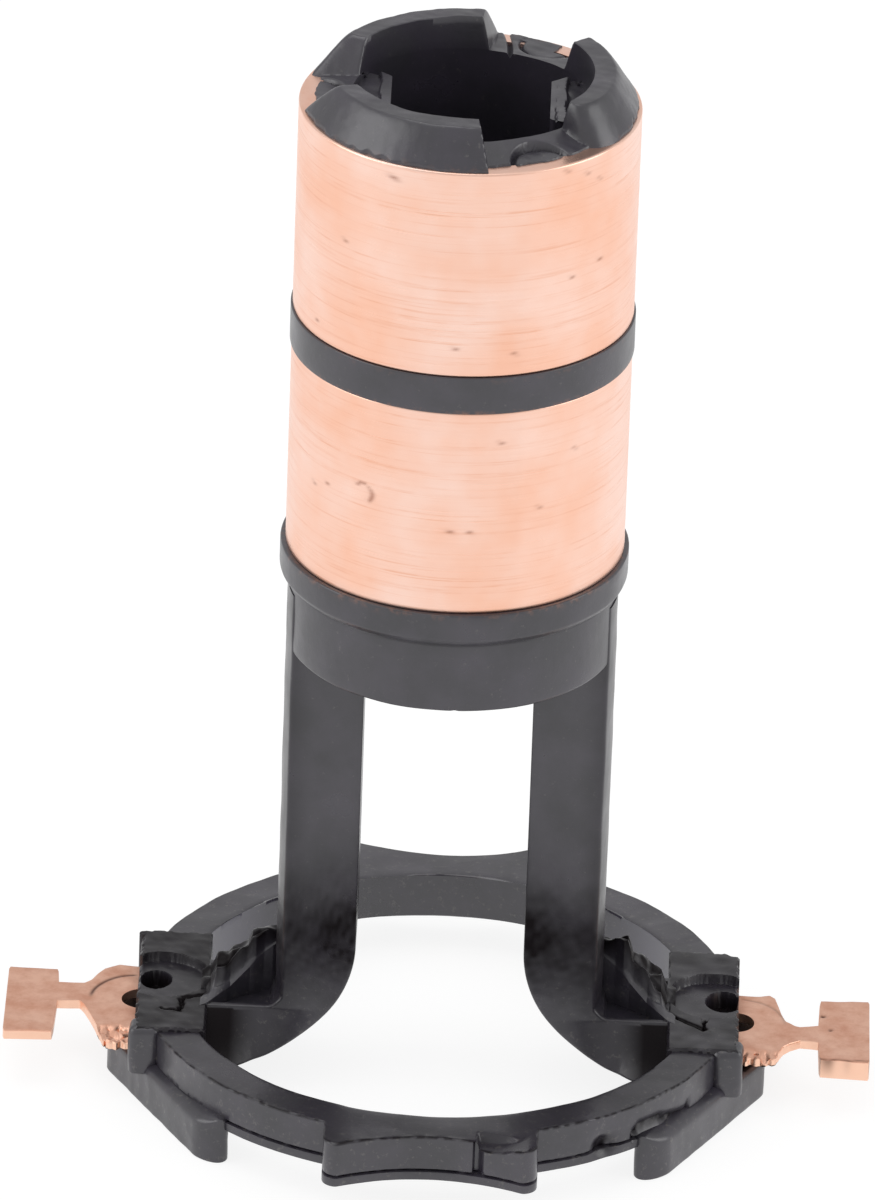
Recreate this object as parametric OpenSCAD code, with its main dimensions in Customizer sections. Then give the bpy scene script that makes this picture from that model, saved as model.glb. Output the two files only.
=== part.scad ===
// Alternator slip ring: two copper brush tracks on a moulded barrel with two legs,
// a base ring and two stamped copper terminals. Origin at the bottom centre, +Z up
// the shaft axis, +X towards one terminal.

/* [Brush tracks] */
// Outer diameter of both copper tracks
track_d = 15.5; // [14.5:0.1:18]
// Height of each copper track
track_h = 10.05; // [7:0.05:14]
// Wall of each copper ring
track_wall = 0.8; // [0.7:0.05:1.1]
// Width of the moulded land between the tracks
land_h = 1.8; // [1.2:0.05:3]

/* [Barrel] */
// How far the land stands proud of the tracks
land_proud = 0.08; // [0:0.01:0.2]
// Height of the flange under the lower track
flange_h = 1.6; // [1:0.1:2.5]
// How far the flange stands proud of the tracks
flange_proud = 0.22; // [0.05:0.01:0.5]
// Height of the collar below the flange
collar_h = 3.5; // [2.5:0.1:6]
// How far the collar is set back from the tracks
collar_setback = 0.23; // [0.1:0.01:0.5]
// Diameter of the shaft bore
bore_d = 10.75; // [10:0.05:11.4]
// Distance across the two flats in the bore
flat_gap = 7.2; // [6.4:0.1:7.6]

/* [Crown] */
// Height of the castle lugs above the upper track
crown_h = 1.75; // [1.2:0.05:3]
// Thickness of the lugs at their top
crown_wall = 1.15; // [0.9:0.05:1.6]
// Angle that each of the two wide gaps takes up at its floor
crown_gap_angle = 41; // [24:1:50]
// Angle that the lugs' ends lean back from upright
crown_draft = 14; // [4:1:20]
// Height of the bore's rim above the track's edge
crown_step = 0.6; // [0.4:0.05:0.9]
// Height of the gap floors above the track's edge, at the copper
crown_sill = 0.12; // [0.05:0.01:0.3]
// Diameter of the half-round pin marks in the gap floors
pin_mark_d = 2.7; // [1.6:0.1:3.4]

/* [Legs] */
// Distance between the inner faces of the two legs
leg_gap = 7.75; // [7.6:0.05:9]
// Width of a leg across its front face and back face
leg_w = 4.5; // [3.6:0.1:5.4]
// How far the outside of the legs is set back from the tracks
leg_setback = 0.18; // [0.05:0.01:0.3]
// Free length of the legs from the base ring to the collar
leg_len = 18.45; // [12:0.1:26]
// Radius of the sweep where a leg turns out to the base ring
leg_sweep_r = 5.6; // [4:0.1:6]
// Reach of the webs that brace an arm against the base ring
web_reach = 5.2; // [4:0.1:8]

/* [Base ring] */
// Outer diameter of the base ring
base_od = 27.7; // [26.6:0.1:30]
// Inner diameter of the base ring
base_id = 23.8; // [22.4:0.1:25]
// Height of the base ring
base_h = 2.25; // [1.8:0.05:3]
// Height of the lower lip left by the mould parting line
lip_h = 0.5; // [0.3:0.05:0.8]
// How far the wall above the lip is set back
lip_step = 0.07; // [0.03:0.01:0.2]
// Width of the front and back lugs
lug_w = 9.8; // [8:0.1:12]
// Distance over the horns of the two lugs
lug_od = 30.2; // [29.5:0.1:31.4]
// Diameter that the scallop between the horns reaches down to
lug_waist_d = 28; // [27.8:0.1:29]
// Radius of the scallop between the horns
scallop_r = 9.4; // [8:0.1:12]
// Width of the upright slot in the front lug
slot_w = 0.45; // [0.3:0.05:0.8]
// Distance of the slot from the middle of the front lug
slot_x = 1.95; // [0.5:0.05:3]
// Depth of the slot from the lug's waist
slot_depth = 0.35; // [0.2:0.05:0.6]

/* [Terminal bosses] */
// Distance over the outer faces of the two bosses
boss_span = 27.9; // [27.7:0.1:29.5]
// Length of a boss, inwards from its outer face
boss_l = 3.3; // [3:0.05:3.6]
// Width of a boss
boss_w = 9.7; // [9:0.1:11]
// Height of the bosses above the base ring
boss_rise = 0.2; // [0.05:0.05:0.5]
// Diameter of the round well in the top of a boss
well_d = 4.25; // [3.4:0.05:5]
// Depth of the well
well_depth = 0.45; // [0.2:0.05:0.7]
// Diameter of the hole that runs down to the copper
sight_d = 1.7; // [1.2:0.1:2]
// Distance of well and hole behind the middle of the boss
well_y = 0.5; // [0:0.1:0.8]
// Length of the jaw at a boss's front corner that grips the pad
jaw_l = 1.5; // [1.2:0.05:1.8]
// Width of the jaw
jaw_w = 1.4; // [1:0.05:1.8]
// How far the jaw stands out over the boss, outwards and to the front
jaw_proud = 0.25; // [0.1:0.05:0.3]
// Width of the rib over the lead, between the two pockets of an arm
rib_w = 1.5; // [1.4:0.1:2]
// Wall left between a pocket and the side of its arm
pocket_wall = 0.45; // [0.3:0.05:0.8]
// Depth of the pockets
pocket_depth = 1.5; // [0.8:0.1:1.8]
// Height of the gusset behind each leg above the base ring
gusset_h = 2.6; // [1.2:0.1:4]
// Length of the gusset's flat top
gusset_l = 0.85; // [0.3:0.05:1.2]
// Width of the gusset
gusset_w = 1.9; // [1.2:0.1:2.2]

/* [Feet] */
// Height of the feet below the base ring
foot_h = 1.6; // [1:0.1:3]
// Distance over the outer ends of the feet
foot_span = 30.5; // [30:0.1:32]
// Thickness of the foot bars
foot_w = 1.4; // [1.2:0.1:2.2]
// Distance of a foot bar's outer face from the shaft axis
foot_reach = 14.2; // [14:0.05:14.8]
// Angle that the bars turn away from the terminal's direction
foot_angle = 28.5; // [22:0.5:34]
// Distance of the bar ends from the middle plane
foot_end_y = 10.2; // [8:0.1:11]

/* [Terminals] */
// Thickness of the copper strip
strip_t = 0.45; // [0.35:0.05:0.6]
// Width of the copper strip inside the legs
strip_w = 1.2; // [0.8:0.1:1.2]
// Distance of strip and rib behind the middle of the leg
strip_y = 0.3; // [0:0.05:0.4]
// Depth of the terminals below the base ring's top
terminal_drop = 1.1; // [0.8:0.05:1.3]
// Distance over the outer edges of the two terminal tabs
tab_span = 40.1; // [38:0.1:44]
// Length of a tab
tab_l = 2.3; // [1.6:0.05:3]
// Width of a tab
tab_w = 6.1; // [4:0.1:8]
// Length of the neck between tab and pad
neck_l = 1.3; // [0.8:0.05:2]
// Width of the neck
neck_w = 1.55; // [1.2:0.05:2.4]
// Sideways offset of the neck
neck_y = 0.65; // [0:0.05:1.2]
// Width of the pad at the boss
pad_w = 6.5; // [5:0.1:7.4]
// Length over which the pad narrows to the neck
pad_taper = 1.1; // [0.4:0.1:1.6]
// Diameter of the hole in the pad
pad_hole_d = 1.9; // [1.2:0.1:2.4]
// How far the lead steps outwards where it meets its ring
lead_step = 0.8; // [0.5:0.05:1]
// Inside radius of the bend at the foot of the lead
lead_bend_r = 2.2; // [1.6:0.1:2.4]
// Length of the weld pads inside the tracks
weld_l = 4; // [2:0.1:6]

/* [Hidden] */
$fn = 96;

// Small overlap that lets joined shapes share volume
over = 0.02;
// How far cutting shapes run past what they cut
past = 1;
// Heights, worked up from the ground
base_z = foot_h;
base_top = base_z + base_h;
boss_top = base_top + boss_rise;
collar_z = base_top + leg_len;
flange_z = collar_z + collar_h;
inner_track_z = flange_z + flange_h;
land_z = inner_track_z + track_h;
outer_track_z = land_z + land_h;
crown_z = outer_track_z + track_h;
crown_floor_z = crown_z + crown_step;
key_drop = 0.2;
key_top = crown_floor_z - key_drop;
crown_top = crown_z + crown_h;
terminal_z = base_top - terminal_drop - strip_t;
pocket_end = 0.15;
// Radii and half sizes
track_r = track_d / 2;
track_in = track_r - track_wall;
land_r = track_r + land_proud;
flange_r = track_r + flange_proud;
flange_chamfer = 0.3;
bore_r = bore_d / 2;
crown_setback = 0.08;
crown_r = track_r - crown_setback;
crown_top_r = bore_r + crown_wall;
collar_r = track_r - collar_setback;
leg_r = track_r - leg_setback;
leg_in = leg_gap / 2;
lead_x = track_in - strip_t - lead_step;
boss_out = boss_span / 2;
boss_in = boss_out - boss_l;
tab_out = tab_span / 2;
neck_out = tab_out - tab_l;
neck_in = neck_out - neck_l;
pad_lap = 1;
pad_in = boss_in + pad_lap;
pad_hole_inset = 0.2;
// Wells break out through the boss's outer face, sight holes just clear it
well_over = 0.95;
well_x = boss_out - well_d / 2 + well_over;
sight_edge = 0.05;
sight_x = boss_out - sight_d / 2 - sight_edge;
foot_out = foot_span / 2;
foot_lap = 0.4;
// The three gaps between the castle lugs: direction, share of the wide gap's angle,
// and how far the lugs' ends lean back there against crown_draft
crown_gaps = [[61, 1, 1], [177, 0.66, 2.5], [298, 1, 0.7]];
pin_mark_out = 0.2;
web_start = 0.57;
web_lap = 1;
web_edge = 0.15;
jaw_side = 0.15;
jaw_drop = 0.05;
gusset_root = 1;
lug_root = 0.5;
// The scallop's centre, out from the waist
scallop_y = lug_waist_d / 2 + scallop_r;
horn_round = 0.7;

// Gap in the crown, w degrees wide at its floor, pointing in direction a
module crown_gap(a, w, lean) {
    reach = 2 * track_r;
    intersection_for(s = [-1, 1])
        rotate([0, 0, a + s * w / 2])
            rotate([-s * lean, 0, 0])
                translate([0, -reach * (1 + s) / 2, -reach / 2])
                    cube([reach, reach, 2 * reach]);
}

// The barrel without its bore: core, flange, collar and the land between the tracks
module barrel_solid() {
    rotate_extrude()
        polygon([[0, collar_z], [collar_r, collar_z],
                 [collar_r, flange_z], [flange_r, flange_z + flange_chamfer],
                 [flange_r, inner_track_z], [track_in, inner_track_z],
                 [track_in, land_z], [land_r, land_z],
                 [land_r, outer_track_z], [track_in, outer_track_z],
                 [track_in, crown_z + crown_sill], [bore_r, crown_floor_z],
                 [0, crown_floor_z]]);
}

// Castle lugs: a tapered rim, cut through by three gaps; the bore opens its middle
module crown_lugs() {
    difference() {
        cylinder(r1 = crown_r, r2 = crown_top_r, h = crown_h);
        for (gap = crown_gaps)
            crown_gap(gap[0], gap[1] * crown_gap_angle, gap[2] * crown_draft);
    }
}

// Half-round marks of the mould pins, one in each gap
module pin_marks() {
    for (gap = crown_gaps)
        rotate([0, 0, gap[0]])
            translate([track_in + pin_mark_out, 0, crown_z + crown_sill / 2])
                cylinder(d = pin_mark_d, h = crown_h);
}

// Side view of a leg: upright, swept outwards at its foot, running out to the boss
module leg_profile() {
    sweep_x = leg_in + leg_sweep_r;
    sweep_z = base_z + leg_sweep_r;
    difference() {
        union() {
            translate([leg_in, base_z])
                square([leg_r - leg_in, flange_z + flange_chamfer - base_z]);
            translate([leg_in, base_z])
                square([boss_in + over - leg_in, base_h + boss_rise]);
        }
        difference() {
            translate([leg_in - past, base_z - past])
                square([leg_sweep_r + past, leg_sweep_r + past]);
            translate([sweep_x, sweep_z])
                circle(r = leg_sweep_r);
        }
    }
}

// One leg with the arm that joins it to the terminal boss
module leg() {
    intersection() {
        translate([0, leg_w / 2, 0])
            rotate([90, 0, 0])
                linear_extrude(leg_w)
                    leg_profile();
        union() {
            cylinder(r = leg_r, h = flange_z + flange_chamfer);
            cylinder(r = boss_out, h = boss_top);
        }
    }
}

// Sloping webs that brace an arm against the base ring, one on each side
module webs() {
    start = leg_in + leg_sweep_r * web_start;
    ring_x = sqrt(pow(base_id / 2, 2) - pow(web_reach, 2));
    for (s = [0, 1])
        mirror([0, s, 0])
            translate([0, 0, base_z])
                hull() {
                    linear_extrude(web_edge)
                        polygon([[start, 0], [start, -leg_w / 2],
                                 [ring_x, -web_reach], [ring_x + web_lap, -web_reach],
                                 [boss_in + web_lap, 0]]);
                    translate([leg_r + web_lap, -leg_w / 2, 0])
                        cube([boss_in - leg_r, leg_w / 2, base_h - web_edge]);
                }
}

// Gusset that braces the back of a leg against its arm
module gusset() {
    translate([0, strip_y + gusset_w / 2, 0])
        rotate([90, 0, 0])
            linear_extrude(gusset_w)
                polygon([[leg_in + gusset_root, base_top],
                         [leg_in + gusset_root, base_top + gusset_h],
                         [leg_r + gusset_l, base_top + gusset_h],
                         [leg_r + 2 * gusset_l, base_top + gusset_h / 2],
                         [boss_in + over, boss_top], [boss_in + over, base_top]]);
}

// Two open pockets in the top of an arm, one on each side of the lead
module pockets() {
    side = leg_w / 2 - pocket_wall;
    difference() {
        translate([leg_r + pocket_end, -side, boss_top - pocket_depth])
            cube([boss_in - leg_r - 2 * pocket_end, 2 * side, base_h]);
        translate([leg_r, strip_y - rib_w / 2, base_z])
            cube([boss_in - leg_r, rib_w, 2 * base_h]);
    }
}

// Base ring with its parting step
module base_ring_solid() {
    rotate_extrude()
        polygon([[base_id / 2, base_z], [base_od / 2, base_z],
                 [base_od / 2, base_z + lip_h], [base_od / 2 - lip_step, base_z + lip_h],
                 [base_od / 2 - lip_step, base_top], [base_id / 2, base_top]]);
}

// Lug with two horns and a scallop between them, on the -Y side
module lug() {
    out = lug_od / 2;
    flat = lug_w / 2 - horn_round;
    translate([0, 0, base_z])
        linear_extrude(base_h)
            difference() {
                union() {
                    translate([-lug_w / 2, -out + horn_round])
                        square([lug_w, out - horn_round - base_id / 2 - lug_root]);
                    translate([-flat, -out])
                        square([2 * flat, horn_round * 2]);
                    for (s = [-1, 1])
                        translate([s * flat, -out + horn_round])
                            circle(r = horn_round);
                }
                translate([0, -scallop_y])
                    circle(r = scallop_r);
            }
}

// Boss that carries a terminal, clear of the ring's opening
module boss() {
    translate([boss_in, -boss_w / 2, base_z])
        cube([boss_l, boss_w, base_h + boss_rise]);
    translate([boss_out + jaw_proud - jaw_l, -boss_w / 2 - jaw_side, base_z])
        cube([jaw_l, jaw_w, base_h + boss_rise - jaw_drop]);
}

// Round well and sight hole in the top of a boss
module boss_openings() {
    translate([well_x, well_y, boss_top - well_depth])
        cylinder(d = well_d, h = well_depth + past);
    translate([sight_x, well_y, terminal_z + strip_t])
        cylinder(d = sight_d, h = base_h);
}

// Plan of one foot bar, from the terminal's direction to past its free end
module foot_bar_plan(side) {
    inner = foot_reach - foot_w;
    rotate([0, 0, side * foot_angle])
        translate([inner, -foot_reach / 2])
            square([foot_w, foot_reach]);
}

// Pair of foot bars that meet under a terminal
module foot() {
    linear_extrude(base_z + lip_h)
        intersection() {
            union() {
                foot_bar_plan(1);
                foot_bar_plan(-1);
                translate([boss_in + foot_lap, -boss_w / 2])
                    square([foot_out - boss_in - foot_lap, boss_w]);
            }
            translate([-foot_out, -foot_end_y])
                square([2 * foot_out, 2 * foot_end_y]);
            foot_outline();
        }
}

// Outline that trims the foot to its flat outer faces
module foot_outline() {
    intersection() {
        rotate([0, 0, foot_angle])
            square([2 * foot_reach, 6 * foot_reach], center = true);
        rotate([0, 0, -foot_angle])
            square([2 * foot_reach, 6 * foot_reach], center = true);
    }
}

// Half of what is moulded at the base, on the +X side
module base_half() {
    leg();
    webs();
    gusset();
    boss();
    foot();
}

// Outline of a terminal seen from above: tab, neck and pad
module terminal_plan() {
    difference() {
        union() {
            translate([neck_out, -tab_w / 2])
                square([tab_l, tab_w]);
            translate([neck_in - over, -neck_y - neck_w / 2])
                square([neck_l + 2 * over, neck_w]);
            polygon([[pad_in, -pad_w / 2], [neck_in - pad_taper, -pad_w / 2],
                     [neck_in, -neck_y - neck_w / 2], [neck_in, -neck_y + neck_w / 2],
                     [neck_in - pad_taper, pad_w / 2], [pad_in, pad_w / 2]]);
        }
        translate([boss_out - pad_hole_inset, 0])
            circle(d = pad_hole_d);
    }
}

// Side view of a lead: out along the arm, up the leg and out to its track
module lead_profile(track_z) {
    bend_out = lead_bend_r + strip_t;
    centre_x = lead_x + bend_out;
    centre_z = terminal_z + bend_out;
    weld_z = track_z + (track_h - weld_l) / 2;
    step = track_in - strip_t - lead_x;
    // Run out to the terminal
    translate([centre_x, terminal_z])
        square([pad_in + over - centre_x, strip_t]);
    // Bend at the foot of the leg
    intersection() {
        translate([centre_x, centre_z])
            difference() {
                circle(r = bend_out);
                circle(r = lead_bend_r);
            }
        translate([lead_x - past, terminal_z - past])
            square([bend_out + past, bend_out + past]);
    }
    // Up the leg
    translate([lead_x, centre_z])
        square([strip_t, weld_z - step - centre_z]);
    // Joggle and weld pad
    polygon([[lead_x, weld_z - step - over], [lead_x + strip_t, weld_z - step - over],
             [track_r, weld_z + track_r - lead_x - strip_t - step],
             [track_r, weld_z + weld_l], [track_in - strip_t, weld_z + weld_l],
             [track_in - strip_t, weld_z], [lead_x, weld_z - step]]);
}

// One lead with its terminal, on the +X side; side says which way +Y lies
module lead_solid(track_z, side) {
    intersection() {
        translate([0, side * strip_y + strip_w / 2, 0])
            rotate([90, 0, 0])
                linear_extrude(strip_w)
                    lead_profile(track_z);
        union() {
            cylinder(r = track_in, h = crown_z);
            cylinder(r = tab_out, h = base_top);
        }
    }
    translate([0, 0, terminal_z])
        linear_extrude(strip_t)
            terminal_plan();
}

module moulded_carrier() {
    color("#2f2f33")
    difference() {
        union() {
            barrel_solid();
            translate([0, 0, crown_z])
                crown_lugs();
            base_ring_solid();
            base_half();
            mirror([1, 0, 0])
                base_half();
            lug();
            mirror([0, 1, 0])
                lug();
        }
        // Shaft bore, round with a flat rib on each side
        difference() {
            translate([0, 0, collar_z - past])
                cylinder(d = bore_d, h = crown_top);
            for (s = [0, 180])
                rotate([0, 0, s])
                    translate([flat_gap / 2, -leg_w / 2, collar_z - 2 * past])
                        cube([bore_r, leg_w, key_top - collar_z + 2 * past]);
        }
        pin_marks();
        for (s = [0, 1])
            mirror([s, 0, 0]) {
                pockets();
                boss_openings();
            }
        // Upright slot in the front lug
        translate([slot_x - slot_w / 2, -lug_waist_d / 2 - past, base_z - past])
            cube([slot_w, past + slot_depth, base_h + 2 * past]);
        lead_solid(outer_track_z, 1);
        rotate([0, 0, 180])
            lead_solid(inner_track_z, -1);
    }
}

// A brush track, standing on z
module track(z) {
    translate([0, 0, z])
        difference() {
            cylinder(d = track_d, h = track_h);
            translate([0, 0, -past])
                cylinder(r = track_in, h = track_h + 2 * past);
        }
}

module outer_slip_ring() {
    color("#f0c0a4")
        track(outer_track_z);
}

module inner_slip_ring() {
    color("#f0c0a4")
        track(inner_track_z);
}

module outer_ring_lead() {
    color("#d9a88f")
        lead_solid(outer_track_z, 1);
}

module inner_ring_lead() {
    color("#d9a88f")
        rotate([0, 0, 180])
            lead_solid(inner_track_z, -1);
}

moulded_carrier();
outer_slip_ring();
inner_slip_ring();
outer_ring_lead();
inner_ring_lead();
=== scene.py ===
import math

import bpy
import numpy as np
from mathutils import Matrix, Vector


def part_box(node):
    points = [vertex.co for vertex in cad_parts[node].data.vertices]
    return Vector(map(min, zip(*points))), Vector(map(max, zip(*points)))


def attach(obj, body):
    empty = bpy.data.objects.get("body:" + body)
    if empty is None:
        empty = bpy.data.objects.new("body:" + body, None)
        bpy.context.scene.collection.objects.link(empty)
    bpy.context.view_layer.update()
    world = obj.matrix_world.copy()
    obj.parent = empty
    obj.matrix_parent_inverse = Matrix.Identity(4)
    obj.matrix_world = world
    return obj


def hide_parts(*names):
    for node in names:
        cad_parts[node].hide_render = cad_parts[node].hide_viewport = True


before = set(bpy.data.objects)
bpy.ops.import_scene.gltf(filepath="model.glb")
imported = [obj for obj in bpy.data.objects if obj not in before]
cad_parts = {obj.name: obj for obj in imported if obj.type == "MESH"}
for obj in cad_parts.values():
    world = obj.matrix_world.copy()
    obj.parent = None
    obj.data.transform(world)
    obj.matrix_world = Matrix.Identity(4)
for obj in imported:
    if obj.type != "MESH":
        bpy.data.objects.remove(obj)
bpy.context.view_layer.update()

# %% [markdown]
# # An alternator slip ring as worked-out surfaces
# The object carries current into the rotor of a car's alternator. Brushes rub on two turned copper
# tracks, which sit on a black moulded barrel. Two legs hold the barrel above a base ring, and a
# stamped copper terminal lies on each side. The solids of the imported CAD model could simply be
# given good materials, but their edges are sharp and their faces bare. So each surface is worked
# out again with numpy on a much finer grid, where edges are rounded and the marks of moulding,
# turning and stamping are real shapes.

MM = 0.001
scene = bpy.context.scene
scene.view_settings.view_transform = "Standard"

# %% [markdown]
# ## Levels and radii
# A mesh that stands for a CAD node has to fill the node's place. The levels could be typed in
# again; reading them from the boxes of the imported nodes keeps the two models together.


# %% Sizes read from the CAD nodes
def corners(node_name):
    """Lowest and highest corner of a CAD node: its box in metres, divided by 0.001."""
    return [np.array(c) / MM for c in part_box(node_name)]


upper_low, upper_high = corners("outer_slip_ring")
lower_low, lower_high = corners("inner_slip_ring")
lead_low, lead_high = corners("outer_ring_lead")
body_high = corners("moulded_carrier")[1]
track_r = upper_high[0]
crown_z = upper_high[2]
print("track radius", track_r, "tracks end at", lower_low[2], lower_high[2], upper_low[2], crown_z)

# %% [markdown]
# ## Grids instead of modelling by hand
# A closed surface is a grid of points whose rows or columns join up at their ends. Blender could
# make such forms with Spin, Screw or Curve objects too, but a grid from a formula lets one line
# of arithmetic bend, dent or roughen it anywhere, and its faces are known to be closed.


# %% Faces of a grid
def quads(rows, cols, close_rows=False, close_cols=False):
    """Each cell joins point (i, j), numbered i * cols + j, to the next in its row and column."""
    i = np.arange(rows if close_rows else rows - 1)[:, None]
    j = np.arange(cols if close_cols else cols - 1)[None, :]
    row = i * cols
    next_row = (i + 1) % rows * cols
    next_col = (j + 1) % cols
    cell = [row + j, row + next_col, next_row + next_col, next_row + j]
    return np.stack(cell, -1).reshape(-1, 4)


closed_cells = quads(3, 4, True, True)
print("a grid of 3 by 4 points has", len(quads(3, 4)), "cells,", len(closed_cells), "when closed")

# %% [markdown]
# ## Three ways to close a grid
# A section carried once round the axis closes like a ring, a bar like a capped tube, and a block
# with a height over each point like a slab. Caps could be single many-sided faces; strips of quads
# shade better where the loop bends inwards.


# %% Closed shells
def torus(points):
    """A grid closed both ways, such as a section carried once round the axis."""
    rows, cols = points.shape[:2]
    return points.reshape(-1, 3), quads(rows, cols, True, True)


def tube(points):
    """Rows are loops of an even number of points; strips from side to side close the end loops."""
    rows, cols = points.shape[:2]
    i = np.arange(cols // 2 - 1)
    strip = np.stack([i, i + 1, cols - 2 - i, cols - 1 - i], -1)
    ends = [strip[:, ::-1], strip + (rows - 1) * cols]
    return points.reshape(-1, 3), np.vstack([quads(rows, cols, close_cols=True), *ends])


def slab(x, y, top, bottom):
    """A sheet with a top and a bottom height over each point (x, y), and four side walls."""
    rows, cols = x.shape
    top_points = np.stack([x, y, top + 0 * x], -1).reshape(-1, 3)
    bottom_points = np.stack([x, y, bottom + 0 * x], -1).reshape(-1, 3)
    number = np.arange(rows * cols).reshape(rows, cols)
    rim = np.concatenate([number[0, :-1], number[:-1, -1], number[-1, :0:-1], number[:0:-1, 0]])
    following = np.roll(rim, -1)
    under = rows * cols
    top_faces = quads(rows, cols)
    walls = np.stack([following, rim, rim + under, following + under], -1)
    faces = [top_faces[:, ::-1], top_faces + under, walls[:, ::-1]]
    return np.vstack([top_points, bottom_points]), np.vstack(faces)


flat_x, flat_y = np.meshgrid(np.arange(3.0), np.arange(4.0), indexing="ij")
print("a slab over 3 by 4 points has", len(slab(flat_x, flat_y, 1.0, 0.0)[1]), "faces")

# %% [markdown]
# ## Profiles with soft edges
# No moulded or turned edge is perfectly sharp, and it is the small rounding that catches the light.
# A Bevel modifier would round every edge alike; here each corner of a profile gets its own radius.


# %% Profiles
def soften(points, radius, steps=4, closed=False):
    """Corner c becomes (1-t)² a + 2t(1-t) c + t² b, with a and b a radius before and after it."""
    c = np.array(points, float)
    to_last = np.roll(c, 1, 0) - c
    to_next = np.roll(c, -1, 0) - c
    last_length = np.linalg.norm(to_last, axis=1, keepdims=True)
    next_length = np.linalg.norm(to_next, axis=1, keepdims=True)
    r = np.broadcast_to(radius, len(c))[:, None]
    # A curve never takes more than about half of a side
    a = c + to_last * np.minimum(r / last_length, 0.48)
    b = c + to_next * np.minimum(r / next_length, 0.48)
    t = np.linspace(0, 1, steps)[:, None, None]
    curves = (1 - t) ** 2 * a + 2 * t * (1 - t) * c + t ** 2 * b
    curves = curves.transpose(1, 0, 2)
    if closed:
        return curves.reshape(-1, 2)
    return np.vstack([c[:1], curves[1:-1].reshape(-1, 2), c[-1:]])


def dense(points, step):
    """Adds points along straight runs so that no two are further apart than step; corners stay."""
    run = np.diff(points, axis=0)
    parts = np.maximum(1, np.ceil(np.linalg.norm(run, axis=1) / step)).astype(int)
    which = np.repeat(np.arange(len(run)), parts)
    within = np.arange(parts.sum()) - np.repeat(np.cumsum(parts) - parts, parts)
    share = (within / parts[which])[:, None]
    return np.vstack([points[which] + run[which] * share, points[-1:]])


def even_loop(corner_points, radius, steps, step):
    """A closed outline with rounded corners and dense sides, cut to an even number of points."""
    loop = soften(corner_points, radius, steps, closed=True)
    loop = dense(np.vstack([loop, loop[:1]]), step)[:-1]
    return loop[:len(loop) // 2 * 2]


square = [(0, 0), (1, 0), (1, 1), (0, 1)]
print("a softened square has", len(soften(square, 0.1, closed=True)), "points")

# %% [markdown]
# ## Blends and unevenness
# Where two surfaces meet, a moulding has a small fillet. A boolean leaves a hard line there, while
# a soft minimum of two heights rounds it. Slow sine waves in many directions stand in for the
# unevenness of a real surface; unlike a Displace modifier they can be masked or worn off anywhere.


# %% Blends and waves
def soft_min(blend, *heights):
    """-k log(sum of exp(-h / k)): the lowest height, rounded over about k where two meet."""
    stack = np.stack(np.broadcast_arrays(*heights))
    return -blend * np.logaddexp.reduce(-stack / blend, axis=0)


def step_up(value, start, end):
    """3t² - 2t³ with t running from 0 at start to 1 at end."""
    t = np.clip((value - start) / (end - start), 0, 1)
    return t * t * (3 - 2 * t)


def bell(value, width):
    """exp(-(v / w)²): 1 in the middle, 0.37 at a width's distance."""
    return np.exp(-(value / width) ** 2)


def ripple(points, size, seed):
    """Sum of 14 sine waves of random direction, about size long, scaled to a spread of 1."""
    rng = np.random.default_rng(seed)
    direction = rng.normal(size=(3, 14))
    direction /= np.linalg.norm(direction, axis=0)
    waves = direction * rng.uniform(0.6, 1.6, 14) * 2 * np.pi / size
    return np.sin(points @ waves + rng.uniform(0, 2 * np.pi, 14)).sum(-1) / math.sqrt(7)


def around(radius, height, angle):
    """(r cos a, r sin a, z) for radii and heights that may vary over the grid."""
    x, y, z = np.broadcast_arrays(radius * np.cos(angle), radius * np.sin(angle), height)
    return np.stack([x, y, z], -1)


def full_turn(columns):
    """Angles of the columns of a grid that goes once round."""
    return np.linspace(0, 2 * np.pi, columns, endpoint=False)


print("two heights of 1 meet in", soft_min(0.1, 1.0, 1.0).round(3), "with a blend of 0.1")

# %% [markdown]
# ## From points to a Blender object
# Each piece becomes one mesh whose place is in its points, so its object stays at the origin like
# a CAD node's. Faces could be turned outwards with Recalculate Normals; the sign of the volume
# does it for a closed shell in one sum. A point attribute says how much of a mark lies on a point:
# broken moulding flash, dirt, dents and stains, darker patches, and painted shade; on the moulding,
# values below 0 mark polish and painted reflection. The materials read it.


# %% Meshes
SHARP_DEGREES = 38


def outward(shell):
    """Turns faces outwards: the sum of a · (b × c) / 6 over all triangles is the volume."""
    points, faces = shell
    a, b, c, d = (points[faces[:, k]] for k in range(4))
    volume = (np.sum(a * np.cross(b, c)) + np.sum(a * np.cross(c, d))) / 6
    return points, faces if volume > 0 else faces[:, ::-1]


def mesh_of(name, points, faces):
    """A smooth-shaded mesh from whole arrays, with creases where faces meet at a sharp angle."""
    mesh = bpy.data.meshes.new(name)
    mesh.vertices.add(len(points))
    mesh.vertices.foreach_set("co", points.astype(np.float32).ravel())
    mesh.loops.add(faces.size)
    mesh.loops.foreach_set("vertex_index", faces.astype(np.int32).ravel())
    mesh.polygons.add(len(faces))
    mesh.polygons.foreach_set("loop_start", np.arange(0, faces.size, 4, dtype=np.int32))
    mesh.update(calc_edges=True)
    mesh.shade_smooth()
    mesh.set_sharp_from_angle(angle=math.radians(SHARP_DEGREES))
    return mesh


print("faces that meet at more than", SHARP_DEGREES, "degrees keep a crease")


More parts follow.
